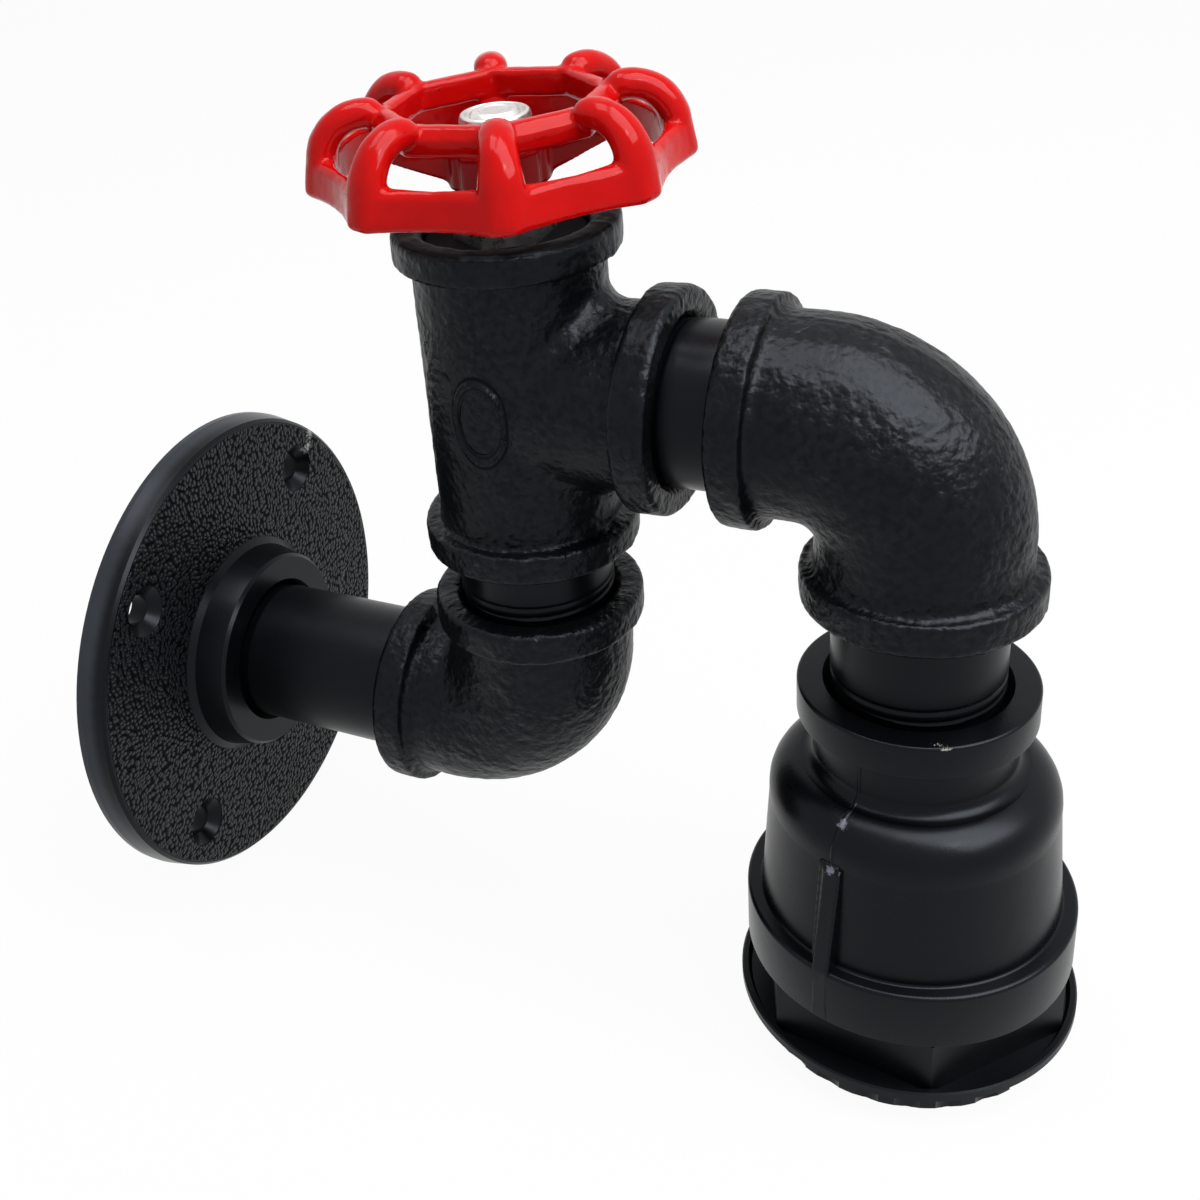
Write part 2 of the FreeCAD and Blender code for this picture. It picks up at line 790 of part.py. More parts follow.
def make_switch_bush():
    """Threaded plug in the tee's top mouth with a hole for the switch's neck."""
    body = new_body("switch_bush")
    turned(body, "plug", [
        ("neck_thread", "-bush_thick"),
        ("thread_radius", "-bush_thick"),
        ("thread_radius", "-0.5"),
        ("thread_radius - 0.5", "0"),
        ("neck_thread", "0"),
    ])
    place(body, y="-riser_reach", z="bush_top")
    return body


def make_switch_body():
    """Rotary switch: round case under the plug with a threaded neck through it."""
    body = new_body("switch_body")
    turned(body, "case", [
        ("0", "-switch_height"),
        ("switch_radius - 0.8", "-switch_height"),
        ("switch_radius", "-switch_height + 0.8"),
        ("switch_radius", "-0.8"),
        ("switch_radius - 0.8", "0"),
        ("neck_thread", "0"),
        ("neck_thread", "bush_thick + 3.2"),
        ("0", "bush_thick + 3.2"),
    ])
    turned(body, "spindle_bore", [
        ("0", "-6"),
        ("spindle_radius + spindle_gap", "-6"),
        ("spindle_radius + spindle_gap", "bush_thick + 4"),
        ("0", "bush_thick + 4"),
    ], kind="Groove")
    place(body, y="-riser_reach", z="bush_top - bush_thick")
    return body


def make_switch_nut():
    """Hexagon nut that clamps the switch to the plug."""
    body = new_body("switch_nut")
    plan = new_sketch(body, "plan", "XY_Plane")
    polygon(plan, "nut_corner", 6)
    circle(plan, "neck_thread")
    pad(body, "nut", plan, "nut_thick")
    place(body, y="-riser_reach", z="bush_top")
    return body


def make_spindle():
    """Turned spindle that the handwheel is fixed to."""
    body = new_body("switch_spindle")
    turned(body, "shaft", [
        ("0", "-seat_level + bush_top - bush_thick - 5.9"),
        ("spindle_radius", "-seat_level + bush_top - bush_thick - 5.9"),
        ("spindle_radius", "-0.4"),
        ("spindle_radius - 0.4", "0"),
        ("1.6", "0"),
        ("1.6", "-6"),
        ("0", "-6"),
    ])
    place(body, y="-riser_reach", z="seat_level")
    return body


def make_handwheel():
    """Cast wheel: scalloped rim, eight arched lobes, octagonal ring, spokes and hub."""
    body = new_body("handwheel")
    turned(body, "rim", [
        ("0", "0"),
        ("rim_radius - 0.6", "0"),
        ("rim_radius", "0.6"),
        ("rim_radius - rim_draft", "rim_height"),
        ("0", "rim_height"),
    ])
    valley = new_sketch(body, "valley", "XY_Plane", "-1")
    circle(valley, "valley_curve", "(rim_valley + valley_curve) * cos(22.5deg)",
           "(rim_valley + valley_curve) * sin(22.5deg)")
    scoop = pad(body, "valley_scoop", valley, "rim_height + 2", kind="Pocket", Reversed=True)
    around(body, "valleys", scoop, LOBES)
    hollow = new_sketch(body, "hollow", "XY_Plane", "-1")
    circle(hollow, "rim_inner")
    pad(body, "rim_hollow", hollow, "rim_height + 2", kind="Pocket", Reversed=True)

    def rim_top(edge):
        box = edge.BoundBox
        return box.ZLength < 0.01 and abs(box.ZMin - size("rim_height")) < 0.01

    soften(body, "rim_break", "rim_round", rim_top)

    boss = new_sketch(body, "boss_plan", "XY_Plane", "boss_low")
    circle(boss, "boss_radius")
    pad(body, "boss", boss, "boss_top - boss_low")
    facet = new_sketch(body, "facet", "XY_Plane", "boss_low - 1")
    circle(facet, "1.2", "boss_radius + 0.6")
    groove = pad(body, "facet_cut", facet, "boss_top - boss_low + 1", kind="Pocket", Reversed=True)
    around(body, "facets", groove, BOSS_FACETS)
    seat = new_sketch(body, "seat_plan", "XY_Plane")
    circle(seat, "seat_radius")
    pad(body, "seat", seat, "seat_top")

    spoke = new_sketch(body, "spoke", "XZ_Plane")
    outline(spoke, [
        ("4", "0.2"),
        ("boss_radius", "0.4"),
        ("ring_corner - 1.5", "4.6"),
        ("ring_corner - 0.8", "ring_low + 1.2"),
        ("ring_hollow", "ring_low + 1.0"),
        ("boss_radius - 0.4", "boss_top - 0.6"),
        ("4", "boss_top - 0.6"),
    ])
    arm = pad(body, "spoke_arm", spoke, "spoke_width", Midplane=True)
    around(body, "spokes", arm, SPOKES)

    ring = new_sketch(body, "ring_plan", "XY_Plane", "ring_low")
    polygon(ring, "ring_corner", LOBES)
    polygon(ring, "ring_hollow", LOBES)
    pad(body, "ring", ring, "ring_top - ring_low")

    def ring_edges(edge):
        box = edge.BoundBox
        level = box.ZLength < 0.01 and abs(box.ZMin - size("ring_top")) < 0.01
        far = math.hypot(edge.CenterOfMass.x, edge.CenterOfMass.y)
        return level and far > size("ring_hollow") * 0.8

    soften(body, "ring_break", "ring_round", ring_edges)

    make_arch(body)

    bore = new_sketch(body, "bore", "XY_Plane", "boss_low - 1")
    circle(bore, "spindle_radius")
    pad(body, "spindle_bore", bore, "seat_top - boss_low + 2", kind="Pocket", Reversed=True)
    place(body, y="-riser_reach", z="wheel_base", turn=(Z_AXIS, size("wheel_turn")))
    return body


def make_arch(body):
    """One lobe: a bar that rises off the ring, turns over and runs down to the rim."""
    level = "arch_top - arch_thick / 2"
    lean = "arch_lean * 1deg"
    turn_level = level + " - arch_bend + arch_bend * sin(" + lean + ")"
    foot_level = "arch_foot"
    foot_reach = "arch_knee + arch_bend * cos(%s) + (%s - arch_foot) * tan(%s)" % (lean, turn_level, lean)
    spine = new_sketch(body, "arch_spine", "XZ_Plane")

    def value(text):
        return float(spine.evalExpression(bound(text)))

    start = FreeCAD.Vector(value("arch_start"), value(level), 0)
    top = FreeCAD.Vector(value("arch_knee"), value(level), 0)
    centre = FreeCAD.Vector(value("arch_knee"), value(level + " - arch_bend"), 0)
    angle = math.radians(size("arch_lean"))
    turn = centre + FreeCAD.Vector(math.cos(angle), math.sin(angle), 0) * size("arch_bend")
    foot = FreeCAD.Vector(value(foot_reach), value(foot_level), 0)
    over = Part.Circle(centre, FreeCAD.Vector(0, 0, 1), size("arch_bend"))
    spine.addGeometry(Part.LineSegment(start, top), False)
    spine.addGeometry(Part.ArcOfCircle(over, angle, math.pi / 2), False)
    spine.addGeometry(Part.LineSegment(turn, foot), False)
    spine.addConstraint(Sketcher.Constraint("Coincident", 0, 2, 1, 2))
    spine.addConstraint(Sketcher.Constraint("Coincident", 1, 1, 2, 1))
    pin_point(spine, 0, 1, "arch_start", level)
    pin_point(spine, 0, 2, "arch_knee", level)
    pin_point(spine, 1, 3, "arch_knee", level + " - arch_bend")
    pin_level(spine, 2, 1, turn_level)
    pin_point(spine, 2, 2, foot_reach, foot_level)
    section = new_sketch(body, "arch_section", "YZ_Plane", "arch_start")
    stadium(section, "arch_width", "arch_thick", level)
    arch = feature(body, "AdditivePipe", "arch", section, Spine=(spine, []))
    around(body, "arches", arch, LOBES)


def stadium(sketch, width, thick, level):
    """A flat-topped outline with sides bevelled to half of its thickness."""
    half = width + " / 2"
    flat = "(%s / 2 - %s / 3)" % (width, thick)
    high = "%s / 2" % thick
    side = "%s / 6" % thick
    outline(sketch, [
        (half, level + " - " + side),
        (half, level + " + " + side),
        (flat, level + " + " + high),
        ("-" + flat, level + " + " + high),
        ("-" + half, level + " + " + side),
        ("-" + half, level + " - " + side),
        ("-" + flat, level + " - " + high),
        (flat, level + " - " + high),
    ])


def make_washer():
    """Plated washer under the wheel's screw."""
    body = new_body("wheel_washer")
    turned(body, "disc", [
        ("1.8", "0"),
        ("washer_radius", "0"),
        ("washer_radius", "washer_thick - 0.3"),
        ("washer_radius - 0.3", "washer_thick"),
        ("1.8", "washer_thick"),
    ])
    place(body, y="-riser_reach", z="seat_level")
    return body


def make_wheel_screw():
    """Round-headed screw that holds the wheel on the spindle."""
    body = new_body("wheel_screw")
    turned(body, "screw", [
        ("0", "-5.9"),
        ("1.6", "-5.9"),
        ("1.6", "washer_thick"),
        ("screw_head", "washer_thick"),
        ("screw_head", "washer_thick + 0.4"),
        ("screw_head - 1.2", "washer_thick + screw_rise"),
        ("0", "washer_thick + screw_rise"),
    ])
    place(body, y="-riser_reach", z="seat_level")
    return body


# Wiring inside the pipes

def make_wall_cable():
    """Sheathed cable from the wall, through the lower elbow, to the riser's swivel."""
    body = new_body("wall_cable")
    bent_path(body, "sheath", "cable_radius", "cable_bend",
              ("-2", "0"), ("-riser_reach", "0"), ("-riser_reach", "swivel_level - swivel_gap"))
    return body


def make_arm_cable():
    """The sheath's two lengths in the arm, stripped where the cores meet the switch."""
    body = new_body("arm_cable")
    stub = new_sketch(body, "stub_section", "XY_Plane", "swivel_level")
    circle(stub, "cable_radius", "0", "-riser_reach")
    pad(body, "stub", stub, "strip_level - swivel_level")
    branch = new_sketch(body, "branch_section", "XZ_Plane", "riser_reach + strip_reach")
    circle(branch, "cable_radius", "0", "tee_level")
    pad(body, "branch", branch, "swivel_reach - swivel_gap - riser_reach - strip_reach")
    return body


def make_switch_leads():
    """Three cores in the tee: one straight on to the lamp, two by way of the switch."""
    body = new_body("switch_leads")
    feed = new_sketch(body, "feed_section", "XY_Plane", "strip_level")
    circle(feed, "core_radius", "core_spread", "-riser_reach")
    pad(body, "feed", feed, "case_level - strip_level")
    far = "-riser_reach - strip_reach"
    bent_path(body, "through", "core_radius", "2 * core_bend",
              ("-riser_reach", "strip_level"), ("-riser_reach", "tee_level - core_spread"),
              (far, "tee_level - core_spread"), side="-core_spread")
    bent_path(body, "switched", "core_radius", "core_bend",
              ("-riser_reach - 3", "case_level"), ("-riser_reach - 3", "tee_level + core_spread"),
              (far, "tee_level + core_spread"), side="-core_spread")
    return body


def make_head_cable():
    """Sheath from the branch's swivel, through the upper elbow, down into the bell."""
    body = new_body("head_cable")
    bent_path(body, "sheath", "cable_radius", "cable_bend",
              ("-swivel_reach", "tee_level"), ("-lamp_reach", "tee_level"), ("-lamp_reach", "-cable_drop"))
    return body


def make_holder_wires():
    """Two cores that swing out from the sheath's end to the holder's terminals."""
    body = new_body("holder_wires")
    spine = new_sketch(body, "spine", "XZ_Plane")
    rise = "(-cable_drop - screw_level)"
    spread = "(terminal_reach - core_spread)"
    bend = "((%s * %s + %s * %s) / (4 * %s))" % (rise, rise, spread, spread, spread)

    def value(text):
        return float(spine.evalExpression(bound(text)))

    radius = value(bend)
    swing = 2 * math.atan2(value(spread), value(rise))
    normal = FreeCAD.Vector(0, 0, 1)
    upper = Part.Circle(FreeCAD.Vector(value("core_spread") + radius, value(rise), 0), normal, radius)
    lower = Part.Circle(FreeCAD.Vector(value("terminal_reach") - radius, 0, 0), normal, radius)
    spine.addGeometry(Part.ArcOfCircle(upper, math.pi, math.pi + swing), False)
    spine.addGeometry(Part.ArcOfCircle(lower, 0, swing), False)
    spine.addConstraint(Sketcher.Constraint("Coincident", 0, 2, 1, 2))
    pin_point(spine, 0, 1, "core_spread", rise)
    pin_point(spine, 0, 3, "core_spread + " + bend, rise)
    pin_level(spine, 0, 2, rise + " / 2")
    pin_point(spine, 1, 1, "terminal_reach", "0")
    pin_level(spine, 1, 3, "0")
    section = new_sketch(body, "section", "XY_Plane", rise)
    circle(section, "core_radius", "core_spread")
    core = feature(body, "AdditivePipe", "core", section, Spine=(spine, []))
    around(body, "cores", core, 2)
    place(body, y="-lamp_reach", z="screw_level")
    return body


def make_nipples():
    """The four pipes, each screwed its engagement deep into both neighbours."""
    wall = make_nipple("wall_nipple", "(riser_reach - elbow_reach + engagement - 1.5)")
    place(wall, y="-1.5", turn=(X_AXIS, 90.0))
    riser = make_nipple("riser_nipple", "(riser_gap + 2 * engagement - swivel_gap)")
    place(riser, y="-riser_reach", z="elbow_reach - engagement")
    branch = make_nipple("branch_nipple", "(branch_gap + 2 * engagement - swivel_gap)")
    place(branch, y="-riser_reach - tee_branch + engagement", z="tee_level", turn=(X_AXIS, 90.0))
    lamp = make_nipple("lamp_nipple", "(lamp_gap + 2 * engagement)")
    place(lamp, y="-lamp_reach", z="bell_top - engagement")


def make_fittings():
    """Two elbows and the tee."""
    lower = make_elbow("lower_elbow", "thread_radius", "thread_radius")
    place(lower, y="-riser_reach")
    tee = make_tee()
    place(tee, y="-riser_reach", z="tee_level")
    upper = make_elbow("upper_elbow", "thread_radius + swivel_gap", "thread_radius")
    place(upper, y="-lamp_reach", z="tee_level", turn=(Y_AXIS, 180.0))


make_wall_flange()
make_nipples()
make_fittings()
make_bell()
make_holder_shell()
make_shade_ring()
make_holder_insert()
make_thread_shell()
make_centre_contact()
make_terminal_screws()
make_switch_bush()
make_switch_body()
make_switch_nut()
make_spindle()
make_handwheel()
make_washer()
make_wheel_screw()
make_wall_cable()
make_arm_cable()
make_switch_leads()
make_head_cable()
make_holder_wires()
doc.recompute()


def check_and_write():
    """Stop on any failed object, then write each sub-part to its own file."""
    failed = [i.Name for i in doc.Objects if "Invalid" in i.State or "Error" in i.State]
    if failed:
        raise RuntimeError("these objects failed: %s" % ", ".join(failed))
    os.makedirs("parts", exist_ok=True)
    for part in parts:
        shape = part.Shape
        if shape.isNull() or not shape.isValid() or not shape.Solids:
            raise RuntimeError("%s has no valid solid" % part.Label)
        shape.exportStep("parts/%s.step" % part.Label)
        box = shape.BoundBox
        print("%-16s %2d solid(s) %9.1f mm3  x %6.1f %6.1f  y %7.1f %7.1f  z %6.1f %6.1f" % (
            part.Label, len(shape.Solids), shape.Volume,
            box.XMin, box.XMax, box.YMin, box.YMax, box.ZMin, box.ZMax))


check_and_write()
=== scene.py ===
"""Looks of a wall light made of black pipe fittings, with a red handwheel and a bell-shaped lamp head.

Everything is in metres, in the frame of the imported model: the wall is the plane y = 0, the light
stands out along -Y and Z is up. Sizes in the dataclasses are millimetres, and mm() turns them.
"""
import logging
import math
from dataclasses import dataclass, field
from enum import Enum
from typing import Callable, Dict, List, Optional, Sequence, Tuple, Union

import bmesh
import bpy
import numpy as np
from mathutils import Matrix, Vector


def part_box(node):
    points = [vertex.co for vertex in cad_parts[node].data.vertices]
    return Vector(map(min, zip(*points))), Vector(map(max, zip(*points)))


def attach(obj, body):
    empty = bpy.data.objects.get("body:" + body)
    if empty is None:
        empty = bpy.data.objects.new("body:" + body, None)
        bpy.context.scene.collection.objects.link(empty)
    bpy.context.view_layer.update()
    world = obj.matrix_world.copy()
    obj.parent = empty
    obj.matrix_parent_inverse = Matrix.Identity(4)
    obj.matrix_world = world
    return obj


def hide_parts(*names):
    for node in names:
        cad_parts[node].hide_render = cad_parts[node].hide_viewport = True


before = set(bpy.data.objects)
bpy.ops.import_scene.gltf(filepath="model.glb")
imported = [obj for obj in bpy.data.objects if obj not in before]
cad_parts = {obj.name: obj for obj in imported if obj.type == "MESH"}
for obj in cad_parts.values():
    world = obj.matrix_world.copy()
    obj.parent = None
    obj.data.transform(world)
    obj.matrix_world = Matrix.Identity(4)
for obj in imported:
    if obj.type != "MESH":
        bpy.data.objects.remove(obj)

logging.basicConfig(level=logging.INFO, format="%(name)s: %(message)s")
LOG = logging.getLogger("wall_light")

Pair = Tuple[float, float]
Point = Tuple[float, float, float]
Colour = Tuple[float, float, float]
Corner = Tuple[float, float, float]
Piece = bpy.types.Object
Material = bpy.types.Material
Plan = Callable[[np.ndarray, np.ndarray], np.ndarray]
Value = Union["Sock", float, int, Sequence[float]]

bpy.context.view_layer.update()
NODES: Dict[str, Piece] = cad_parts
ORIGIN: Point = (0.0, 0.0, 0.0)
FULL_TURN = 2 * math.pi
TEE_REACH = 73.0
HEAD_REACH = 138.5
COOL: Colour = (0.82, 0.89, 1.0)
# Near black of the dull surface that finishes mix in as painted shade.
SHADE_BLACK: Colour = (0.0008, 0.0010, 0.0012)


def mm(value: float) -> float:
    """Millimetres as metres."""
    return value * 0.001


class Body(Enum):
    """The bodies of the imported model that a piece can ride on."""

    WALL = "wall_base"
    ARM = "arm"
    WHEEL = "wheel"
    HEAD = "head"


class Slot(Enum):
    """The record's material slots, one named for each new piece."""

    CAST = "black_cast"
    PIPE = "black_pipe"
    RED = "red_enamel"
    PLATED = "plated_steel"
    NICKEL = "nickel_shell"


# Node graphs

def math_method(operation: str, reflected: bool = False) -> Callable[["Sock", Value], "Sock"]:
    """Make a Sock method that adds one Math node.

    Args:
        operation: The node's operation.
        reflected: Whether the socket stands on the right of the other value.

    Returns:
        The method.
    """
    def method(self: "Sock", other: Value) -> "Sock":
        """The node's result."""
        return self.graph.maths(operation, *((other, self) if reflected else (self, other)))

    return method


class Sock:
    """One output socket that takes part in arithmetic."""

    __add__, __radd__ = math_method("ADD"), math_method("ADD", True)
    __sub__, __rsub__ = math_method("SUBTRACT"), math_method("SUBTRACT", True)
    __mul__, __rmul__ = math_method("MULTIPLY"), math_method("MULTIPLY", True)
    __truediv__, __rtruediv__ = math_method("DIVIDE"), math_method("DIVIDE", True)
    __pow__, over = math_method("POWER"), math_method("GREATER_THAN")
    least, most = math_method("MINIMUM"), math_method("MAXIMUM")

    def __init__(self, graph: "Graph", socket: bpy.types.NodeSocket) -> None:
        """Keep the socket and the graph that it belongs to."""
        self.graph = graph
        self.socket = socket

    def beside(self, output: Union[str, int]) -> "Sock":
        """Another output of the same node."""
        return Sock(self.graph, self.socket.node.outputs[output])

    def size(self) -> "Sock":
        """The value without its sign."""
        return self.graph.maths("ABSOLUTE", self)

    def swing(self, span: float) -> "Sock":
        """A noise about zero instead of a half, times the span."""
        return (self - 0.5) * span

    def rise(self, low: Value, high: Value) -> "Sock":
        """A smooth step from 0 at low to 1 at high."""
        return self.graph.node(
            "ShaderNodeMapRange", {"interpolation_type": "SMOOTHSTEP", "clamp": True},
            {"Value": self, "From Min": low, "From Max": high, "To Min": 0.0, "To Max": 1.0}, "Result")

    def past(self, edge: float, width: float) -> "Sock":
        """0 up to an edge and 1 from a width beyond it, both in millimetres."""
        return self.rise(mm(edge), mm(edge + width))

    def band(self, middle: float, half: float, soft: float) -> "Sock":
        """1 within half of the middle, falling to 0 over the soft width on each side."""
        return 1.0 - (self - middle).size().rise(half, half + soft)


def diagonal(first: Sock, second: Sock) -> Sock:
    """Length of the vector that has these two parts."""
    return (first * first + second * second) ** 0.5


class Graph:
    """A shader or geometry tree that is written as expressions."""

    def __init__(self, tree: bpy.types.NodeTree) -> None:
        """Keep the tree."""
        self.tree = tree

    def node(self, kind: str, settings: Optional[dict] = None, inputs: Optional[dict] = None,
             output: Union[str, int] = 0) -> Sock:
        """Add one node.

        Args:
            kind: The node's type.
            settings: Properties that are set first.
            inputs: Values or sockets for its inputs, by name or number.
            output: Name or number of the output that is returned.

        Returns:
            The chosen output.
        """
        item = self.tree.nodes.new(kind)
        for key, value in (settings or {}).items():
            setattr(item, key, value)
        for key, value in (inputs or {}).items():
            self.feed(item.inputs[key], value)
        return Sock(self, item.outputs[output])

    def feed(self, target: bpy.types.NodeSocket, value: Value) -> None:
        """Link a socket to an input, or set the input's own value.

        Args:
            target: The input.
            value: A socket, a number, a vector, a colour or a material.
        """
        if isinstance(value, Sock):
            self.tree.links.new(value.socket, target)
        elif isinstance(value, (tuple, list)) and target.type == "RGBA":
            target.default_value = (*value[:3], 1.0)
        else:
            target.default_value = value

    def end(self, kind: str, shader: Sock) -> None:
        """Link a shader to a new output node of this type."""
        self.tree.links.new(shader.socket, self.tree.nodes.new(kind).inputs["Surface"])

    def maths(self, operation: str, *values: Value) -> Sock:
        """One Math node."""
        return self.node("ShaderNodeMath", {"operation": operation}, dict(enumerate(values)))

    def vector(self, operation: str, *values: Value) -> Sock:
        """One Vector Math node."""
        return self.node("ShaderNodeVectorMath", {"operation": operation}, dict(enumerate(values)))

    def parts(self, vector: Value) -> Tuple[Sock, Sock, Sock]:
        """The three numbers of a vector."""
        x = self.node("ShaderNodeSeparateXYZ", None, {0: vector})
        return x, x.beside(1), x.beside(2)

    def joined(self, x: Value, y: Value, z: Value) -> Sock:
        """A vector from three numbers."""
        return self.node("ShaderNodeCombineXYZ", None, {0: x, 1: y, 2: z})

    def polar(self, radius: Sock, angle: Sock, height: Value) -> Sock:
        """A vector from a radius, an angle round Z and a height."""
        x, y = radius * self.maths("COSINE", angle), radius * self.maths("SINE", angle)
        return self.joined(x, y, height)


class Paint(Graph):
    """The shader tree of one material."""

    def __init__(self, name: str) -> None:
        """Make the material with an empty tree.

        Args:
            name: The material's name.
        """
        self.material = bpy.data.materials.new(name)
        self.material.use_nodes = True
        self.material.node_tree.nodes.clear()
        super().__init__(self.material.node_tree)
        self.place = self.node("ShaderNodeTexCoord", None, None, "Object")

    def noise(self, grain: float, detail: float = 2.0, rough: float = 0.5,
              place: Optional[Sock] = None, stretch: Optional[Point] = None) -> Sock:
        """Noise with features of a given size.

        Args:
            grain: Size of its features, in millimetres.
            detail: Number of finer layers.
            rough: Strength of the finer layers.
            place: Coordinates, or else the object's own.
            stretch: Factors that the coordinates are multiplied by first.

        Returns:
            The noise, about 0 to 1.
        """
        place = place or self.place
        if stretch is not None:
            place = self.vector("MULTIPLY", place, stretch)
        return self.node("ShaderNodeTexNoise", {"noise_dimensions": "3D"}, {
            "Vector": place, "Scale": 1.0 / mm(grain), "Detail": detail, "Roughness": rough})

    def cells(self, grain: float, place: Optional[Sock] = None, scatter: float = 1.0,
              space: str = "3D") -> Sock:
        """Distance to the nearest of scattered points.

        Args:
            grain: Size of a cell in millimetres.
            place: Coordinates, or else the object's own.
            scatter: How far the points stray from a regular lattice, from 0 to 1.
            space: "3D", or "2D" for the first two coordinates alone.

        Returns:
            The distance, in cells.
        """
        return self.node("ShaderNodeTexVoronoi", {"voronoi_dimensions": space, "feature": "F1"}, {
            "Vector": place or self.place, "Scale": 1.0 / mm(grain), "Randomness": scatter}, "Distance")

    def blend(self, factor: Value, first: Value, second: Value) -> Sock:
        """Colour mixed from the first to the second by the factor."""
        return self.node("ShaderNodeMix", {"data_type": "RGBA", "clamp_factor": True},
                         {0: factor, 6: first, 7: second}, 2)

    def relief(self, *layers: Tuple[Sock, float]) -> Sock:
        """Bumps laid over each other.

        Args:
            *layers: Height and depth of each, the depth in millimetres and the broadest first.

        Returns:
            The normal.
        """
        under: Dict[str, Sock] = {}
        for height, depth in layers:
            inputs = {"Height": height, "Distance": mm(depth), "Strength": 1.0, **under}
            under = {"Normal": self.node("ShaderNodeBump", None, inputs, "Normal")}
        return under["Normal"]

    def spot(self, centre: Point, reach: float, squeeze: Point = (1.0, 1.0, 1.0)) -> Sock:
        """A ragged mark round one point.

        Args:
            centre: Its place in millimetres.
            reach: Its radius in millimetres.
            squeeze: How much narrower it is along each axis.

        Returns:
            1 inside the mark, 0 outside.
        """
        away = self.vector("SUBTRACT", self.place, tuple(mm(c) for c in centre))
        away = self.vector("LENGTH", self.vector("MULTIPLY", away, squeeze)).beside("Value")
        edge = away + self.noise(reach * 0.45, 3.0, 0.7).swing(mm(reach * 2.2))
        return 1.0 - edge.rise(mm(reach * 0.6), mm(reach))

    def finish(self, colour: Value, rough: Value, relief: Sock, hollow: Optional[Sock] = None,
               **more: Value) -> Material:
        """Close the tree with one Principled surface, turned into a dull near-black one where shade is
        painted.

        Args:
            colour: Its base colour.
            rough: Its roughness.
            relief: Its normal.
            hollow: 1 where shade is painted, as a dull near-black surface with no gloss.
            **more: Its other inputs, with spaces written as underscores.

        Returns:
            The material.
        """
        named = {"Base Color": colour, "Roughness": rough, "Normal": relief}
        named.update({key.replace("_", " "): value for key, value in more.items()})
        shader = self.node("ShaderNodeBsdfPrincipled", None, named)
        # Painted shade: by this share the surface is mixed towards a dull near-black one.
        if hollow is not None:
            dull = self.node("ShaderNodeBsdfPrincipled", None, {
                "Base Color": SHADE_BLACK, "Roughness": 0.8, "Specular IOR Level": 0.02})
            shader = self.node("ShaderNodeMixShader", None, {0: hollow, 1: shader, 2: dull})
        self.end("ShaderNodeOutputMaterial", shader)
        return self.material


# Finishes

def scaled(colour: Colour, factor: float, more: float = 0.0) -> Colour:
    """A colour times a factor plus a little more, no channel over 1."""
    return tuple(min(1.0, channel * factor + more) for channel in colour)


def sheen(level: float = 0.14, tint: Colour = COOL) -> Dict[str, Value]:
    """The inputs that say how strongly and in what tone a black coat reflects."""
    return {"Specular_IOR_Level": level, "Specular_Tint": tint}


def peak(values: np.ndarray, middle: float, half: float) -> np.ndarray:
    """1 at the middle, falling straight to 0 at half a width on each side."""
    return np.clip(1 - np.abs(values - middle) / half, 0, 1)


@dataclass(frozen=True)
class OvalPad:
    """The plain oval ring on the side of the tee, raised and painted by the same sizes; the paint adds
    painted shadow lines beside the ring.

    The ring and the grooves beside it are shares of the oval's half sizes, each with its half width.
    """

    along: float = -73.2
    azimuth: float = -179.25
    level: float = 66.2
    half_width: float = 4.65
    half_height: float = 7.4
    tee_radius: float = 15.5
    skin_radius: float = 14.8
    ring: Pair = (0.94, 0.11)
    grooves: Tuple[Pair, Pair] = ((0.82, 0.1), (1.09, 0.1))
    lift: float = 0.6
    sink: float = 0.1
    far_side: float = 9.0

    def distance(self, paint: Paint) -> Sock:
        """Distance from the oval's middle on the surface that is painted.

        Args:
            paint: The tree that measures it.

        Returns:
            1 at the oval's edge, and over 9 away from its side of the tee.
        """
        x, y, z = paint.parts(paint.place)
        across = (y - mm(self.along)) / mm(self.half_width)
        up = (z - mm(self.level)) / mm(self.half_height)
        return diagonal(across, up) + (x + mm(10.0)).over(0.0) * self.far_side

    def raise_on(self, piece: Piece) -> None:
        """Raise the ring on the tee's mesh.

        Args:
            piece: The tee.
        """
        vertices = piece.data.vertices
        place = np.zeros(len(vertices) * 3)
        vertices.foreach_get("co", place)
        place = place.reshape(-1, 3) * 1000
        across = place[:, 0]
        deep = place[:, 1] + TEE_REACH
        reach = np.hypot(across, deep)
        turn = (np.degrees(np.arctan2(deep, across)) - self.azimuth + 180) % 360 - 180
        side = np.radians(turn) * self.tee_radius / self.half_width
        far = np.hypot(side, (place[:, 2] - self.level) / self.half_height)
        ring = peak(far, *self.ring)
        ring = ring * ring * (3 - 2 * ring)
        groove = peak(far, *self.grooves[0]) + peak(far, *self.grooves[1])
        lift = (ring * self.lift - groove * self.sink) * (reach > self.skin_radius)
        place[:, 0] += across / np.maximum(reach, 1e-6) * lift
        place[:, 1] += deep / np.maximum(reach, 1e-6) * lift
        vertices.foreach_set("co", (place / 1000).reshape(-1))
        piece.data.update()


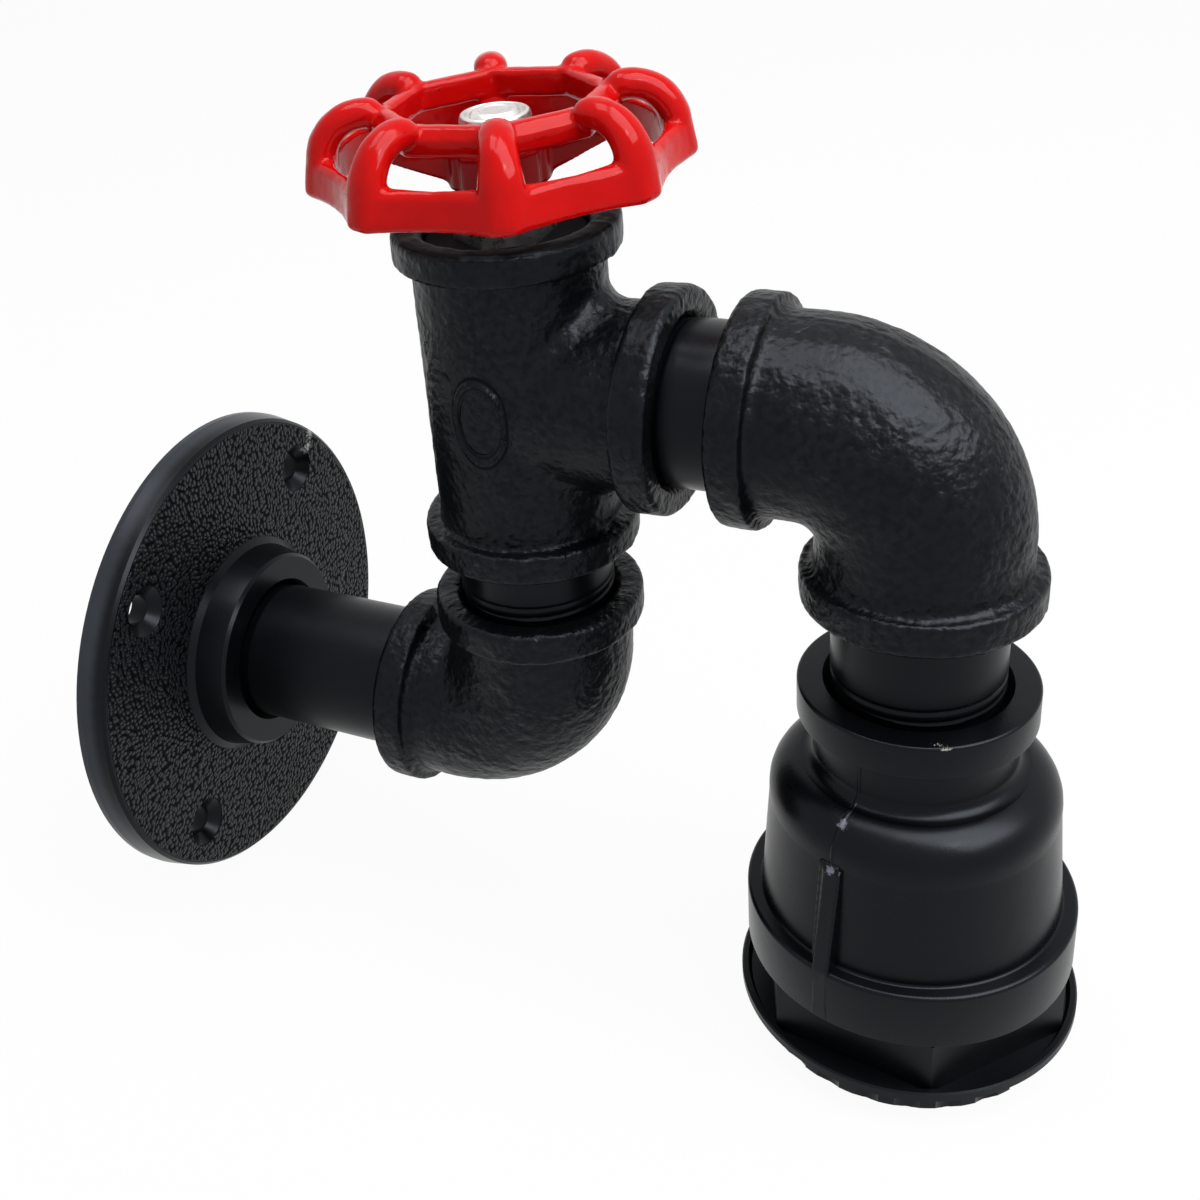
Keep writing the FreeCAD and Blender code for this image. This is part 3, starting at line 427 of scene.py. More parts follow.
@dataclass(frozen=True)
class CastLacquer:
    """Black gloss lacquer that softens the pitted skin of a sand casting, with painted shade in its
    hollows and grooves.
    """

    colour: Colour = (0.0012, 0.0016, 0.0022)
    thin: Colour = (0.0032, 0.0040, 0.0050)
    rough: float = 0.33
    gloss: float = 0.155
    tint: Colour = (0.82, 0.88, 1.0)
    lump: float = 3.2
    lump_depth: float = 0.18
    pebble: float = 1.2
    pebble_depth: float = 0.36
    pit: float = 2.2
    pit_depth: float = 0.12
    grit: float = 0.45
    grit_depth: float = 0.015
    lip: float = 94.2
    pad: OvalPad = OvalPad()

    def make(self) -> Material:
        """Build the finish of the tee and the elbows.

        Returns:
            The material.
        """
        paint = Paint("cast_lacquer")
        broad = paint.noise(12.0)
        lumps = paint.noise(self.lump, 0.5, 0.4)
        pebbles = paint.noise(self.pebble, 1.5)
        bend = paint.joined(lumps * mm(2.4), pebbles * mm(1.0), lumps * mm(-1.6))
        pits = paint.cells(self.pit, paint.vector("ADD", paint.place, bend)).rise(0.0, 0.6)
        pad = self.pad.distance(paint)
        lip = paint.parts(paint.place)[2].past(self.lip, 0.4)
        rougher = broad.rise(0.36, 0.6).most(1.0 - pad.rise(0.7, 0.78)) * (1.0 - lip)
        relief = paint.relief(
            (lumps, self.lump_depth),
            (pebbles * (0.4 + rougher * 0.6 - lip * 0.2), self.pebble_depth),
            (pits * (0.2 + rougher * 0.8), self.pit_depth),
            (paint.noise(self.grit, 1.0), self.grit_depth))
        # Painted shade: the pebbles' low spots, two painted shadow lines beside the pad's ring, and the
        # top lip under the wheel turn dull and near black.
        hollow = (1.0 - pebbles.rise(0.3, 0.62)) * (0.16 + rougher * 0.2)
        hollow = hollow.most(pad.band(0.82, 0.01, 0.05) * 0.5).most(pad.band(1.06, 0.01, 0.06) * 0.75)
        hollow = hollow.most(lip * 0.6)
        colour = paint.blend(broad.rise(0.3, 0.75), self.colour, self.thin)
        rough = self.rough + rougher * 0.05 + pebbles.swing(0.08)
        return paint.finish(colour, rough, relief, hollow, **sheen(self.gloss, self.tint))


@dataclass(frozen=True)
class FlangePaint:
    """Black paint on a disc whose face is beaded like leather and whose rim and hub are turned, with
    painted highlights on the bead tops and the rim's edge and painted shade between the beads.
    """

    colour: Colour = (0.0016, 0.0020, 0.0026)
    # Painted light: lighter bead tops as a painted highlight, near-black valleys as painted shade, and a
    # lighter, bluer rim edge as a painted sheen.
    tops: Colour = (0.0105, 0.0122, 0.0145)
    hollows: Colour = (0.0005, 0.0006, 0.0008)
    bare: Colour = (0.3, 0.3, 0.29)
    edge: Colour = (0.034, 0.039, 0.047)
    edge_radius: float = 46.2
    rough: float = 0.29
    bead: float = 0.98
    bead_depth: float = 0.3
    grit: float = 0.5
    grit_depth: float = 0.025
    face: float = -5.8
    hub: float = 21.6
    rim: float = 44.8
    chips: Tuple[Tuple[Point, float], ...] = (((29.4, -5.8, 30.4), 1.5), ((31.0, -5.8, 32.8), 1.1))

    def make(self) -> Material:
        """Build the finish of the wall flange.

        Returns:
            The material.
        """
        paint = Paint("flange_paint")
        x, y, z = paint.parts(paint.place)
        reach = diagonal(x, z)
        front = y.band(mm(self.face), mm(0.08), mm(0.1))
        beaded = front * reach.past(self.hub, 0.8) * (1.0 - reach.past(self.rim, 0.5))
        drift = paint.noise(5.0, 1.0)
        lattice = paint.joined(x + drift * mm(2.6), z - drift * mm(2.2), 0.0)
        distance = paint.cells(self.bead, lattice, 0.8, "2D")
        bead = (1.0 - distance * distance * 2.2).most(0.0)
        broad = paint.noise(12.0)
        grit = paint.noise(self.grit) * (0.25 + beaded * 0.5)
        relief = paint.relief((bead * beaded, self.bead_depth), (grit, self.grit_depth))
        # Painted light and shade: the bead tops are lightened, and the valleys darkened and turned dull.
        lit_crown = bead.rise(0.35, 0.95) * (0.45 + broad * 0.7)
        hollow = (1.0 - bead.rise(0.1, 0.8)) * beaded * 0.8
        colour = paint.blend(beaded, self.colour, paint.blend(lit_crown, self.hollows, self.tops))
        # Painted highlight: the rim's outer edge is lighter and bluer.
        edge = reach.past(self.edge_radius, 0.4) * (0.55 + broad * 0.5)
        colour = paint.blend(edge, colour, self.edge)
        for centre, size in self.chips:
            colour = paint.blend(paint.spot(centre, size), colour, self.bare)
        rough = self.rough + beaded * (0.08 - lit_crown * 0.12) + broad.swing(0.12)
        return paint.finish(colour, rough, relief, hollow, **sheen())


@dataclass(frozen=True)
class PipePaint:
    """Satin black paint on drawn pipe, with faint dust."""

    name: str = "pipe_paint"
    colour: Colour = (0.0018, 0.0022, 0.0029)
    rough: float = 0.31
    gloss: float = 0.14
    dust: float = 0.3
    dust_tone: float = 6.0

    def make(self) -> Material:
        """Build the finish of the nipples, or of the plug under the wheel.

        Returns:
            The material.
        """
        paint = Paint(self.name)
        broad = paint.noise(9.0)
        fine = paint.noise(0.35)
        dust = paint.noise(0.8, 1.0).rise(0.72, 0.8)
        relief = paint.relief((broad, 0.05), (fine, 0.008))
        colour = paint.blend(dust * self.dust, self.colour, scaled(self.colour, self.dust_tone))
        rough = self.rough + broad.swing(0.16) + fine.swing(0.08)
        return paint.finish(colour, rough, relief, **sheen(self.gloss))


@dataclass(frozen=True)
class BellPaint:
    """Smooth satin black on the bell, bared at one bright chip and scuffed at two spots."""

    colour: Colour = (0.0018, 0.0022, 0.0030)
    bare: Colour = (0.42, 0.41, 0.38)
    scuffed: Colour = (0.17, 0.18, 0.22)
    rough: float = 0.29
    dust: float = 0.25
    dust_tone: float = 6.0
    collar_chip: Point = (-16.1, -145.7, 22.8)
    rib_scuff: Point = (-22.7, -131.3, -0.6)
    shoulder_scuff: Point = (-19.5, -132.3, 7.0)

    def make(self) -> Material:
        """Build the finish of the bell and its seams.

        Returns:
            The material.
        """
        paint = Paint("bell_paint")
        broad = paint.noise(11.0)
        fine = paint.noise(0.5, 3.0)
        relief = paint.relief((broad, 0.1), (fine, 0.012))
        chip = paint.spot(self.collar_chip, 0.8, (1.0, 0.45, 2.6))
        scuff = paint.spot(self.rib_scuff, 0.9)
        scuff = scuff.most(paint.spot(self.shoulder_scuff, 1.2, (1.4, 1.4, 0.8)))
        dust = paint.noise(0.6).rise(0.74, 0.8)
        colour = paint.blend(dust * self.dust, self.colour, scaled(self.colour, self.dust_tone))
        colour = paint.blend(scuff, colour, self.scuffed)
        colour = paint.blend(chip, colour, self.bare)
        rough = self.rough + broad.swing(0.14) + fine.swing(0.06)
        return paint.finish(colour, rough, relief, **sheen())


@dataclass(frozen=True)
class RedEnamel:
    """Thick gloss red enamel on the cast handwheel, darkened as painted shade in the recess round its hub
    and under its ring.
    """

    colour: Colour = (0.53, 0.0030, 0.0030)
    deep: Colour = (0.44, 0.0022, 0.0024)
    shy: Colour = (0.24, 0.0020, 0.0024)
    speck: Colour = (0.2, 0.002, 0.002)
    rough: float = 0.12
    gloss: float = 0.1
    inside: float = 21.0
    under: float = 108.4

    def make(self) -> Material:
        """Build the finish of the handwheel.

        Returns:
            The material.
        """
        paint = Paint("red_enamel")
        broad = paint.noise(7.0)
        fine = paint.noise(0.7)
        relief = paint.relief((paint.noise(2.4, 1.0), 0.08), (fine, 0.012))
        specks = paint.cells(3.1).rise(0.03, 0.07)
        x, y, z = paint.parts(paint.place)
        reach = diagonal(x, y + mm(TEE_REACH))
        # Painted shade: the hub, spokes and underside inside the ring are darkened.
        shaded_recess = (1.0 - reach.past(self.inside, 2.0)) * (1.0 - z.past(self.under, 0.8))
        colour = paint.blend(broad.rise(0.3, 0.75) * 0.5, self.colour, self.deep)
        colour = paint.blend(shaded_recess, colour, self.shy)
        colour = paint.blend(1.0 - specks, colour, self.speck)
        rough = self.rough + broad.swing(0.08) + fine.swing(0.04)
        return paint.finish(colour, rough, relief, Specular_IOR_Level=self.gloss)


@dataclass(frozen=True)
class PlatedSteel:
    """Bright zinc plating with turning lines round the wheel's upright axis."""

    colour: Colour = (0.72, 0.72, 0.7)
    dull: float = 0.7
    rough: float = 0.26

    def make(self) -> Material:
        """Build the finish of the screws, washer, nut and spindle.

        Returns:
            The material.
        """
        paint = Paint("plated_steel")
        x, y, z = paint.parts(paint.place)
        reach = diagonal(x, y + mm(TEE_REACH))
        rings = paint.noise(0.22, 2.0, 0.6, paint.joined(reach, z, 0.0))
        patches = paint.noise(2.0, 3.0)
        colour = paint.blend(patches.rise(0.35, 0.75), self.colour, scaled(self.colour, self.dull))
        rough = self.rough + patches.rise(0.3, 0.8) * 0.2
        return paint.finish(colour, rough, paint.relief((rings, 0.012)), Metallic=1.0)


@dataclass(frozen=True)
class Moulded:
    """Moulded black plastic with a fine spark-eroded grain."""

    name: str
    colour: Colour
    rough: float
    grain: float = 0.25
    depth: float = 0.012

    def make(self) -> Material:
        """Build the finish of one kind of moulding.

        Returns:
            The material.
        """
        paint = Paint(self.name)
        grain = paint.noise(self.grain, 3.0, 0.6)
        broad = paint.noise(8.0)
        scuff = paint.noise(0.5, stretch=(1.0, 1.0, 0.15)).rise(0.68, 0.76)
        relief = paint.relief((grain, self.depth), (broad, 0.05))
        colour = paint.blend(scuff * 0.2, self.colour, scaled(self.colour, 3, 0.01))
        rough = self.rough + grain.swing(0.1) + broad.swing(0.1)
        return paint.finish(colour, rough, relief, **sheen())


@dataclass(frozen=True)
class GlazedPorcelain:
    """White glazed porcelain with faint iron specks."""

    colour: Colour = (0.8, 0.78, 0.73)
    dull: float = 0.88
    speck: Colour = (0.3, 0.22, 0.15)
    rough: float = 0.16

    def make(self) -> Material:
        """Build the finish of the holder's insert.

        Returns:
            The material.
        """
        paint = Paint("glazed_porcelain")
        broad = paint.noise(6.0)
        specks = paint.cells(1.8).rise(0.06, 0.12)
        colour = paint.blend(broad.rise(0.3, 0.8), self.colour, scaled(self.colour, self.dull))
        colour = paint.blend((1.0 - specks) * 0.5, colour, self.speck)
        return paint.finish(colour, self.rough + broad.swing(0.1), paint.relief((broad, 0.06)))


@dataclass(frozen=True)
class SheetMetal:
    """Pressed sheet metal, drawn and slightly dulled."""

    name: str
    colour: Colour
    dull: Colour
    rough: float = 0.24

    def make(self) -> Material:
        """Build the finish of the lamp's screw shell or of its contact.

        Returns:
            The material.
        """
        paint = Paint(self.name)
        drawn = paint.noise(0.3, 2.0, 0.6, stretch=(1.0, 1.0, 0.1))
        patches = paint.noise(2.2, 3.0)
        colour = paint.blend(patches.rise(0.35, 0.7), self.colour, self.dull)
        rough = self.rough + patches.rise(0.3, 0.8) * 0.2
        return paint.finish(colour, rough, paint.relief((drawn, 0.008)), Metallic=1.0)


@dataclass(frozen=True)
class CableSheath:
    """Matt black rubber sheath, dusted with talc."""

    colour: Colour = (0.02, 0.02, 0.021)
    talc: Colour = (0.09, 0.09, 0.09)
    rough: float = 0.6

    def make(self) -> Material:
        """Build the finish of the cables and cores inside the pipes.

        Returns:
            The material.
        """
        paint = Paint("cable_sheath")
        fine = paint.noise(0.4, 3.0)
        talc = paint.noise(5.0).rise(0.45, 0.75) * 0.4
        colour = paint.blend(talc, self.colour, self.talc)
        return paint.finish(colour, self.rough + fine.swing(0.2), paint.relief((fine, 0.02)))


@dataclass
class Finishes:
    """Every material of the light."""

    cast: Material = field(default_factory=CastLacquer().make)
    flange: Material = field(default_factory=FlangePaint().make)
    pipe: Material = field(default_factory=PipePaint().make)
    bush: Material = field(
        default_factory=PipePaint("bush_paint", rough=0.7, gloss=0.05, dust=0.06).make)
    bell: Material = field(default_factory=BellPaint().make)
    red: Material = field(default_factory=RedEnamel().make)
    plated: Material = field(default_factory=PlatedSteel().make)
    holder: Material = field(
        default_factory=Moulded("holder_plastic", (0.0022, 0.0026, 0.0033), 0.36).make)
    case: Material = field(
        default_factory=Moulded("switch_plastic", (0.03, 0.03, 0.031), 0.55, 0.3, 0.02).make)
    porcelain: Material = field(default_factory=GlazedPorcelain().make)
    nickel: Material = field(
        default_factory=SheetMetal("nickel_sheet", (0.68, 0.66, 0.62), (0.5, 0.48, 0.44)).make)
    brass: Material = field(
        default_factory=SheetMetal("brass_sheet", (0.72, 0.5, 0.2), (0.5, 0.34, 0.14)).make)
    sheath: Material = field(default_factory=CableSheath().make)


# Mesh tools

def settle_modifiers(piece: Piece) -> Piece:
    """Replace an object's mesh by its evaluated one and remove its modifiers.

    Args:
        piece: The object.

    Returns:
        The same object.
    """
    graph = bpy.context.evaluated_depsgraph_get()
    graph.update()
    mesh = bpy.data.meshes.new_from_object(
        piece.evaluated_get(graph), preserve_all_data_layers=True, depsgraph=graph)
    piece.modifiers.clear()
    piece.data = mesh
    return piece


def new_piece(name: str, mesh: Optional[bpy.types.Mesh] = None) -> Piece:
    """Make an object at the origin.

    Args:
        name: Its name.
        mesh: Its mesh, or else an empty one.

    Returns:
        The object.
    """
    piece = bpy.data.objects.new(name, mesh or bpy.data.meshes.new(name))
    bpy.context.scene.collection.objects.link(piece)
    return piece


def merged_copy(node: str, name: str) -> Piece:
    """Copy a CAD node's shape as one closed mesh.

    Args:
        node: The CAD node.
        name: Name of the copy.

    Returns:
        The new object.
    """
    mesh = NODES[node].data.copy()
    shape = bmesh.new()
    shape.from_mesh(mesh)
    bmesh.ops.remove_doubles(shape, verts=shape.verts, dist=1e-6)
    shape.to_mesh(mesh)
    shape.free()
    mesh.materials.clear()
    return new_piece(name, mesh)


def softened(piece: Piece, voxel: float, passes: int) -> Piece:
    """Rebuild a closed mesh from small cells and relax it, so that its joints flow together.

    Args:
        piece: The object.
        voxel: Cell size in millimetres.
        passes: Number of smoothing passes.

    Returns:
        The same object with its new mesh.
    """
    remesh = piece.modifiers.new("cells", "REMESH")
    remesh.mode = "VOXEL"
    remesh.voxel_size = mm(voxel)
    relax = piece.modifiers.new("relax", "SMOOTH")
    relax.factor = 0.5
    relax.iterations = passes
    return settle_modifiers(piece)


def closed(piece: Piece) -> Piece:
    """Merge a mesh's doubles and turn every face outwards.

    Args:
        piece: The object.

    Returns:
        The same object.
    """
    shape = bmesh.new()
    shape.from_mesh(piece.data)
    bmesh.ops.remove_doubles(shape, verts=shape.verts, dist=1e-7)
    bmesh.ops.dissolve_degenerate(shape, edges=shape.edges, dist=1e-8)
    bmesh.ops.recalc_face_normals(shape, faces=shape.faces)
    if shape.calc_volume(signed=True) < 0:
        bmesh.ops.reverse_faces(shape, faces=shape.faces)
    shape.to_mesh(piece.data)
    shape.free()
    return piece


def solid(name: str, points: Sequence[Sequence[float]], faces: Sequence[Tuple[int, ...]]) -> Piece:
    """Make a closed mesh object.

    Args:
        name: Its name.
        points: Its points, in metres.
        faces: Point numbers of each face.

    Returns:
        The object, its faces outwards.
    """
    mesh = bpy.data.meshes.new(name)
    mesh.from_pydata(points, [], faces)
    return closed(new_piece(name, mesh))


def rounded(corners: Sequence[Corner], steps: int = 6) -> List[Pair]:
    """Round the corners of a closed outline.

    Args:
        corners: Radius from the axis, height, and rounding of each corner.
        steps: Number of sides in each rounding.

    Returns:
        The outline's points.
    """
    points: List[Pair] = []
    count = len(corners)
    for i, (across, up, radius) in enumerate(corners):
        corner = np.array([across, up])
        before = np.array(corners[i - 1][:2]) - corner
        after = np.array(corners[(i + 1) % count][:2]) - corner
        before /= np.linalg.norm(before)
        after /= np.linalg.norm(after)
        if radius <= 0 or abs(before @ after) > 0.9999:
            points.append((across, up))
            continue
        half = math.acos(np.clip(before @ after, -1, 1)) / 2
        middle = (before + after) / np.linalg.norm(before + after)
        centre = corner + middle * radius / math.sin(half)
        first = corner + before * radius / math.tan(half) - centre
        last = corner + after * radius / math.tan(half) - centre
        sweep = math.acos(np.clip(first @ last / radius ** 2, -1, 1))
        for k in range(steps + 1):
            t = k / steps
            arm = (math.sin((1 - t) * sweep) * first + math.sin(t * sweep) * last) / math.sin(sweep)
            points.append(tuple(centre + arm))
    return points


def lathe(name: str, outline: Sequence[Pair], axis: Point, segments: int,
          plan: Optional[Plan] = None) -> Piece:
    """Turn a closed outline fully round an upright axis.

    Args:
        name: The object's name.
        outline: Radius and height of each point, in millimetres, heights from the axis point.
        axis: A point on the axis, in millimetres.
        segments: Number of steps round the axis.
        plan: The radius that a point has at each angle, where the shape isn't round.

    Returns:
        The closed mesh object.
    """
    points = np.array(outline, float)
    count = len(points)
    angles = np.linspace(0, FULL_TURN, segments, endpoint=False)
    reach = np.repeat(points[None, :, 0], segments, 0)
    if plan is not None:
        reach = plan(angles[:, None], reach)
    verts = np.zeros((segments, count, 3))
    verts[:, :, 0] = np.cos(angles)[:, None] * reach + axis[0]
    verts[:, :, 1] = np.sin(angles)[:, None] * reach + axis[1]
    verts[:, :, 2] = points[None, :, 1] + axis[2]
    faces = []
    for i in range(segments):
        j = (i + 1) % segments
        for k in range(count):
            following = (k + 1) % count
            faces.append((i * count + k, j * count + k, j * count + following, i * count + following))
    return solid(name, (verts.reshape(-1, 3) * 0.001).tolist(), faces)


def bar(name: str, side: Sequence[Pair], low: float, high: float) -> Piece:
    """Make a closed block with this outline across the radius and the height.

    Args:
        name: The object's name.
        side: Radius and height of each corner, in millimetres.
        low: Where it starts along the tangent.
        high: Where it ends.

    Returns:
        The closed mesh object.
    """
    count = len(side)
    verts = [(mm(x), mm(s), mm(z)) for s in (low, high) for x, z in side]
    faces = [tuple(range(count)), tuple(range(count, 2 * count))]
    faces += [(i, (i + 1) % count, (i + 1) % count + count, i + count) for i in range(count)]
    return solid(name, verts, faces)


def gathered(name: str, pieces: Sequence[Piece]) -> Piece:
    """Put several meshes into one object and delete their own objects.

    Args:
        name: Name of the new object.
        pieces: The objects.

    Returns:
        The new object.
    """
    shape = bmesh.new()
    for piece in pieces:
        shape.from_mesh(piece.data)
        bpy.data.objects.remove(piece)
    mesh = bpy.data.meshes.new(name)
    shape.to_mesh(mesh)
    shape.free()
    return new_piece(name, mesh)


def about_z(degrees: float) -> Matrix:
    """A turn about the upright axis."""
    return Matrix.Rotation(math.radians(degrees), 3, "Z")


def moved(piece: Piece, turn: Matrix, place: Point = ORIGIN) -> Piece:
    """Turn a mesh and carry it to a place in millimetres."""
    piece.data.transform(Matrix.Translation(Vector(place) * 0.001) @ turn.to_4x4())
    return piece


def bars_round(name: str, side: Sequence[Pair], half: float, count: int) -> List[Piece]:
    """Blocks of this outline and half width, spaced evenly round the upright axis."""
    return [moved(bar(name, side, -half, half), about_z(360 / count * i)) for i in range(count)]


def seated(piece: Piece, crease: float, body: Body, slot: Slot, material: Material,
           *replaced: str) -> None:
    """Shade a finished piece and give it its material and its body.

    Args:
        piece: The object.
        crease: Angle in degrees over which an edge stays sharp.
        body: The body that it rides on.
        slot: The record's material slot; not used.
        material: Its finish.
        *replaced: CAD nodes that it stands for.
    """
    piece.data.shade_smooth()
    piece.data.set_sharp_from_angle(angle=math.radians(crease))
    piece.data.materials.clear()
    piece.data.materials.append(material)
    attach(piece, body.value)
    if replaced:
        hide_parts(*replaced)
    LOG.info("%s on %s, %d faces", piece.name, body.value, len(piece.data.polygons))


def repaint(material: Material, *nodes: str) -> None:
    """Put a finish on CAD nodes that keep their shape.

    Args:
        material: The finish.
        *nodes: The nodes' names.
    """
    for node in nodes:
        for slot in NODES[node].material_slots:
            slot.material = material
        LOG.info("%s repainted with %s", node, material.name)


# Geometry trees

class Recipe(Graph):
    """A Geometry Nodes tree with named inputs that is run once on one object."""

    def __init__(self, name: str, takes_mesh: bool = True) -> None:
        """Make the tree with its geometry sockets.

        Args:
            name: The tree's name.
            takes_mesh: Whether it changes the mesh that it is run on.
        """
        super().__init__(bpy.data.node_groups.new(name, "GeometryNodeTree"))
        self.keys: Dict[str, str] = {}
        sockets = self.tree.interface
        if takes_mesh:
            sockets.new_socket("Geometry", in_out="INPUT", socket_type="NodeSocketGeometry")
        sockets.new_socket("Geometry", in_out="OUTPUT", socket_type="NodeSocketGeometry")
        self.entry = self.tree.nodes.new("NodeGroupInput")
        self.exit = self.tree.nodes.new("NodeGroupOutput")

    def numbers(self, **values: float) -> List[Sock]:
        """Add named inputs.

        Args:
            **values: First value of each, the name with underscores for spaces.

        Returns:
            Their sockets, in the same order.
        """
        sockets = []
        for key, value in values.items():
            name = key.replace("_", " ").title()
            item = self.tree.interface.new_socket(name, in_out="INPUT", socket_type="NodeSocketFloat")
            item.default_value = value
            self.keys[key] = item.identifier
            sockets.append(Sock(self, self.entry.outputs[name]))
        return sockets

    def given(self) -> Sock:
        """The mesh that the tree is run on."""
        return Sock(self, self.entry.outputs["Geometry"])

    def shares(self) -> Tuple[Sock, Sock]:
        """A grid point's two shares of the grid's sides, from 0 to 1."""
        u, v, _ = self.parts(self.node("GeometryNodeInputPosition"))
        return u + 0.5, v + 0.5

    def wrapped(self, columns: Value, rows: Value, place: Sock) -> Sock:
        """Carry the points of a flat grid to their places and merge those that meet.

        Args:
            columns: Number of points along the grid's first side.
            rows: Number of points along its second side.
            place: Each point's place.

        Returns:
            The closed shape.
        """
        grid = self.node("GeometryNodeMeshGrid", None, {
            "Size X": 1.0, "Size Y": 1.0, "Vertices X": columns, "Vertices Y": rows})
        shape = self.node("GeometryNodeSetPosition", None, {"Geometry": grid, "Position": place})
        return self.node("GeometryNodeMergeByDistance", None, {"Geometry": shape, "Distance": 1e-7})

    def close(self, shape: Sock, material: Material) -> "Recipe":
        """End the tree in real instances and one material.

        Args:
            shape: The shape to end with.
            material: Its finish.

        Returns:
            The tree, ready to run.
        """
        whole = self.node("GeometryNodeRealizeInstances", None, {"Geometry": shape})
        done = self.node("GeometryNodeSetMaterial", None, {"Geometry": whole, "Material": material})
        self.tree.links.new(done.socket, self.exit.inputs["Geometry"])
        return self

    def run(self, piece: Piece, **values: float) -> Piece:
        """Run the tree on an object and keep the result as its plain mesh.

        Args:
            piece: The object whose mesh the tree takes, or an empty mesh.
            **values: Values of the named inputs, the name with underscores for spaces.

        Returns:
            The same object with its new mesh.
        """
        modifier = piece.modifiers.new("recipe", "NODES")
        modifier.node_group = self.tree
        for key, value in values.items():
            modifier[self.keys[key]] = float(value)
        return settle_modifiers(piece)


def casting_skin(material: Material) -> Recipe:
    """The rule for a cast surface: lumps and pebbles along the normal, and a parting ridge.

    Args:
        material: The finish that the tree sets.

    Returns:
        The tree, ready to run.
    """
    recipe = Recipe("casting_skin")
    lump, lump_height, pebble, pebble_height, seam, seam_half = recipe.numbers(
        lump=mm(3.0), lump_height=mm(0.1), pebble=mm(1.0), pebble_height=mm(0.03),
        seam_height=0.0, seam_half=mm(0.5))
    place = recipe.node("GeometryNodeInputPosition")
    normal = recipe.node("GeometryNodeInputNormal")

    def grains(grain: Sock, height: Sock) -> Sock:
        """Noise about zero with features of this size and height."""
        values = {"Vector": place, "Scale": 1.0 / grain, "Detail": 1.0, "Roughness": 0.5}
        return recipe.node("ShaderNodeTexNoise", {"noise_dimensions": "3D"}, values).swing(2.0) * height

    # Faces across a fitting's mouth are nearly flat, so they keep two fifths of the grain.
    _, along, up = recipe.parts(normal)
    mouth = along.size().most(up.size()).rise(0.96, 0.995)
    ridge = (1.0 - recipe.parts(place)[0].size().rise(0.0, seam_half)) * seam
    grain = grains(lump, lump_height) + grains(pebble, pebble_height)
    height = grain * (1.0 - mouth * 0.6) + ridge
    offset = recipe.node("ShaderNodeVectorMath", {"operation": "SCALE"}, {0: normal, "Scale": height})
    skin = recipe.node("GeometryNodeSetPosition", None, {"Geometry": recipe.given(), "Offset": offset})
    return recipe.close(skin, material)


def threaded_pipe(material: Material) -> Recipe:
    """The rule for a nipple: a tube with a helical groove at both ends.

    Args:
        material: The finish that the tree sets.

    Returns:
        The tree, ready to run.
    """
    recipe = Recipe("threaded_pipe", takes_mesh=False)
    length, pipe, hidden, bore, engaged, lead_low, lead_high, pitch, depth, rows, steps = recipe.numbers(
        length=mm(30), pipe_radius=mm(13.35), hidden_radius=mm(13.08), bore_radius=mm(10.9),
        engaged=mm(11.9), lead_low=mm(14.6), lead_high=mm(14.6), pitch=mm(1.81), depth=mm(0.28),
        rows=180, steps=96)
    around, along = recipe.shares()
    angle = around * FULL_TURN
    # Past the outer wall's rows come the two ends of the bore, and a last row that closes the tube.
    row = along * (rows + 3.0)
    after = row - rows
    closing = (after - 0.5).over(0.0)
    inside = closing * (1.0 - (after - 2.5).over(0.0))
    top = 1.0 - (after - 1.5).over(0.0)
    z = (row / rows).least(1.0) * length * (1.0 - closing) + closing * top * length
    other = length - z
    end = z.least(other)
    screwed_in = 1.0 - end.rise(engaged, engaged + mm(0.25))
    near_low = 1.0 - z.rise(lead_low - mm(0.9), lead_low)
    near_high = 1.0 - other.rise(lead_high - mm(0.9), lead_high)
    saw = recipe.maths("FRACT", z / pitch - angle / FULL_TURN)
    groove = (1.0 - (saw - 0.5).size() * 3.2).most(0.0) * depth
    groove = groove * near_low.most(near_high) * (1.0 - screwed_in * 0.6)
    chamfer = (mm(0.5) - end).most(0.0)
    wall = pipe + (hidden - pipe) * screwed_in - groove - chamfer
    radius = wall + (bore - wall) * inside
    place = recipe.polar(radius, angle, z)
    return recipe.close(recipe.wrapped(steps + 1.0, rows + 4.0, place), material)


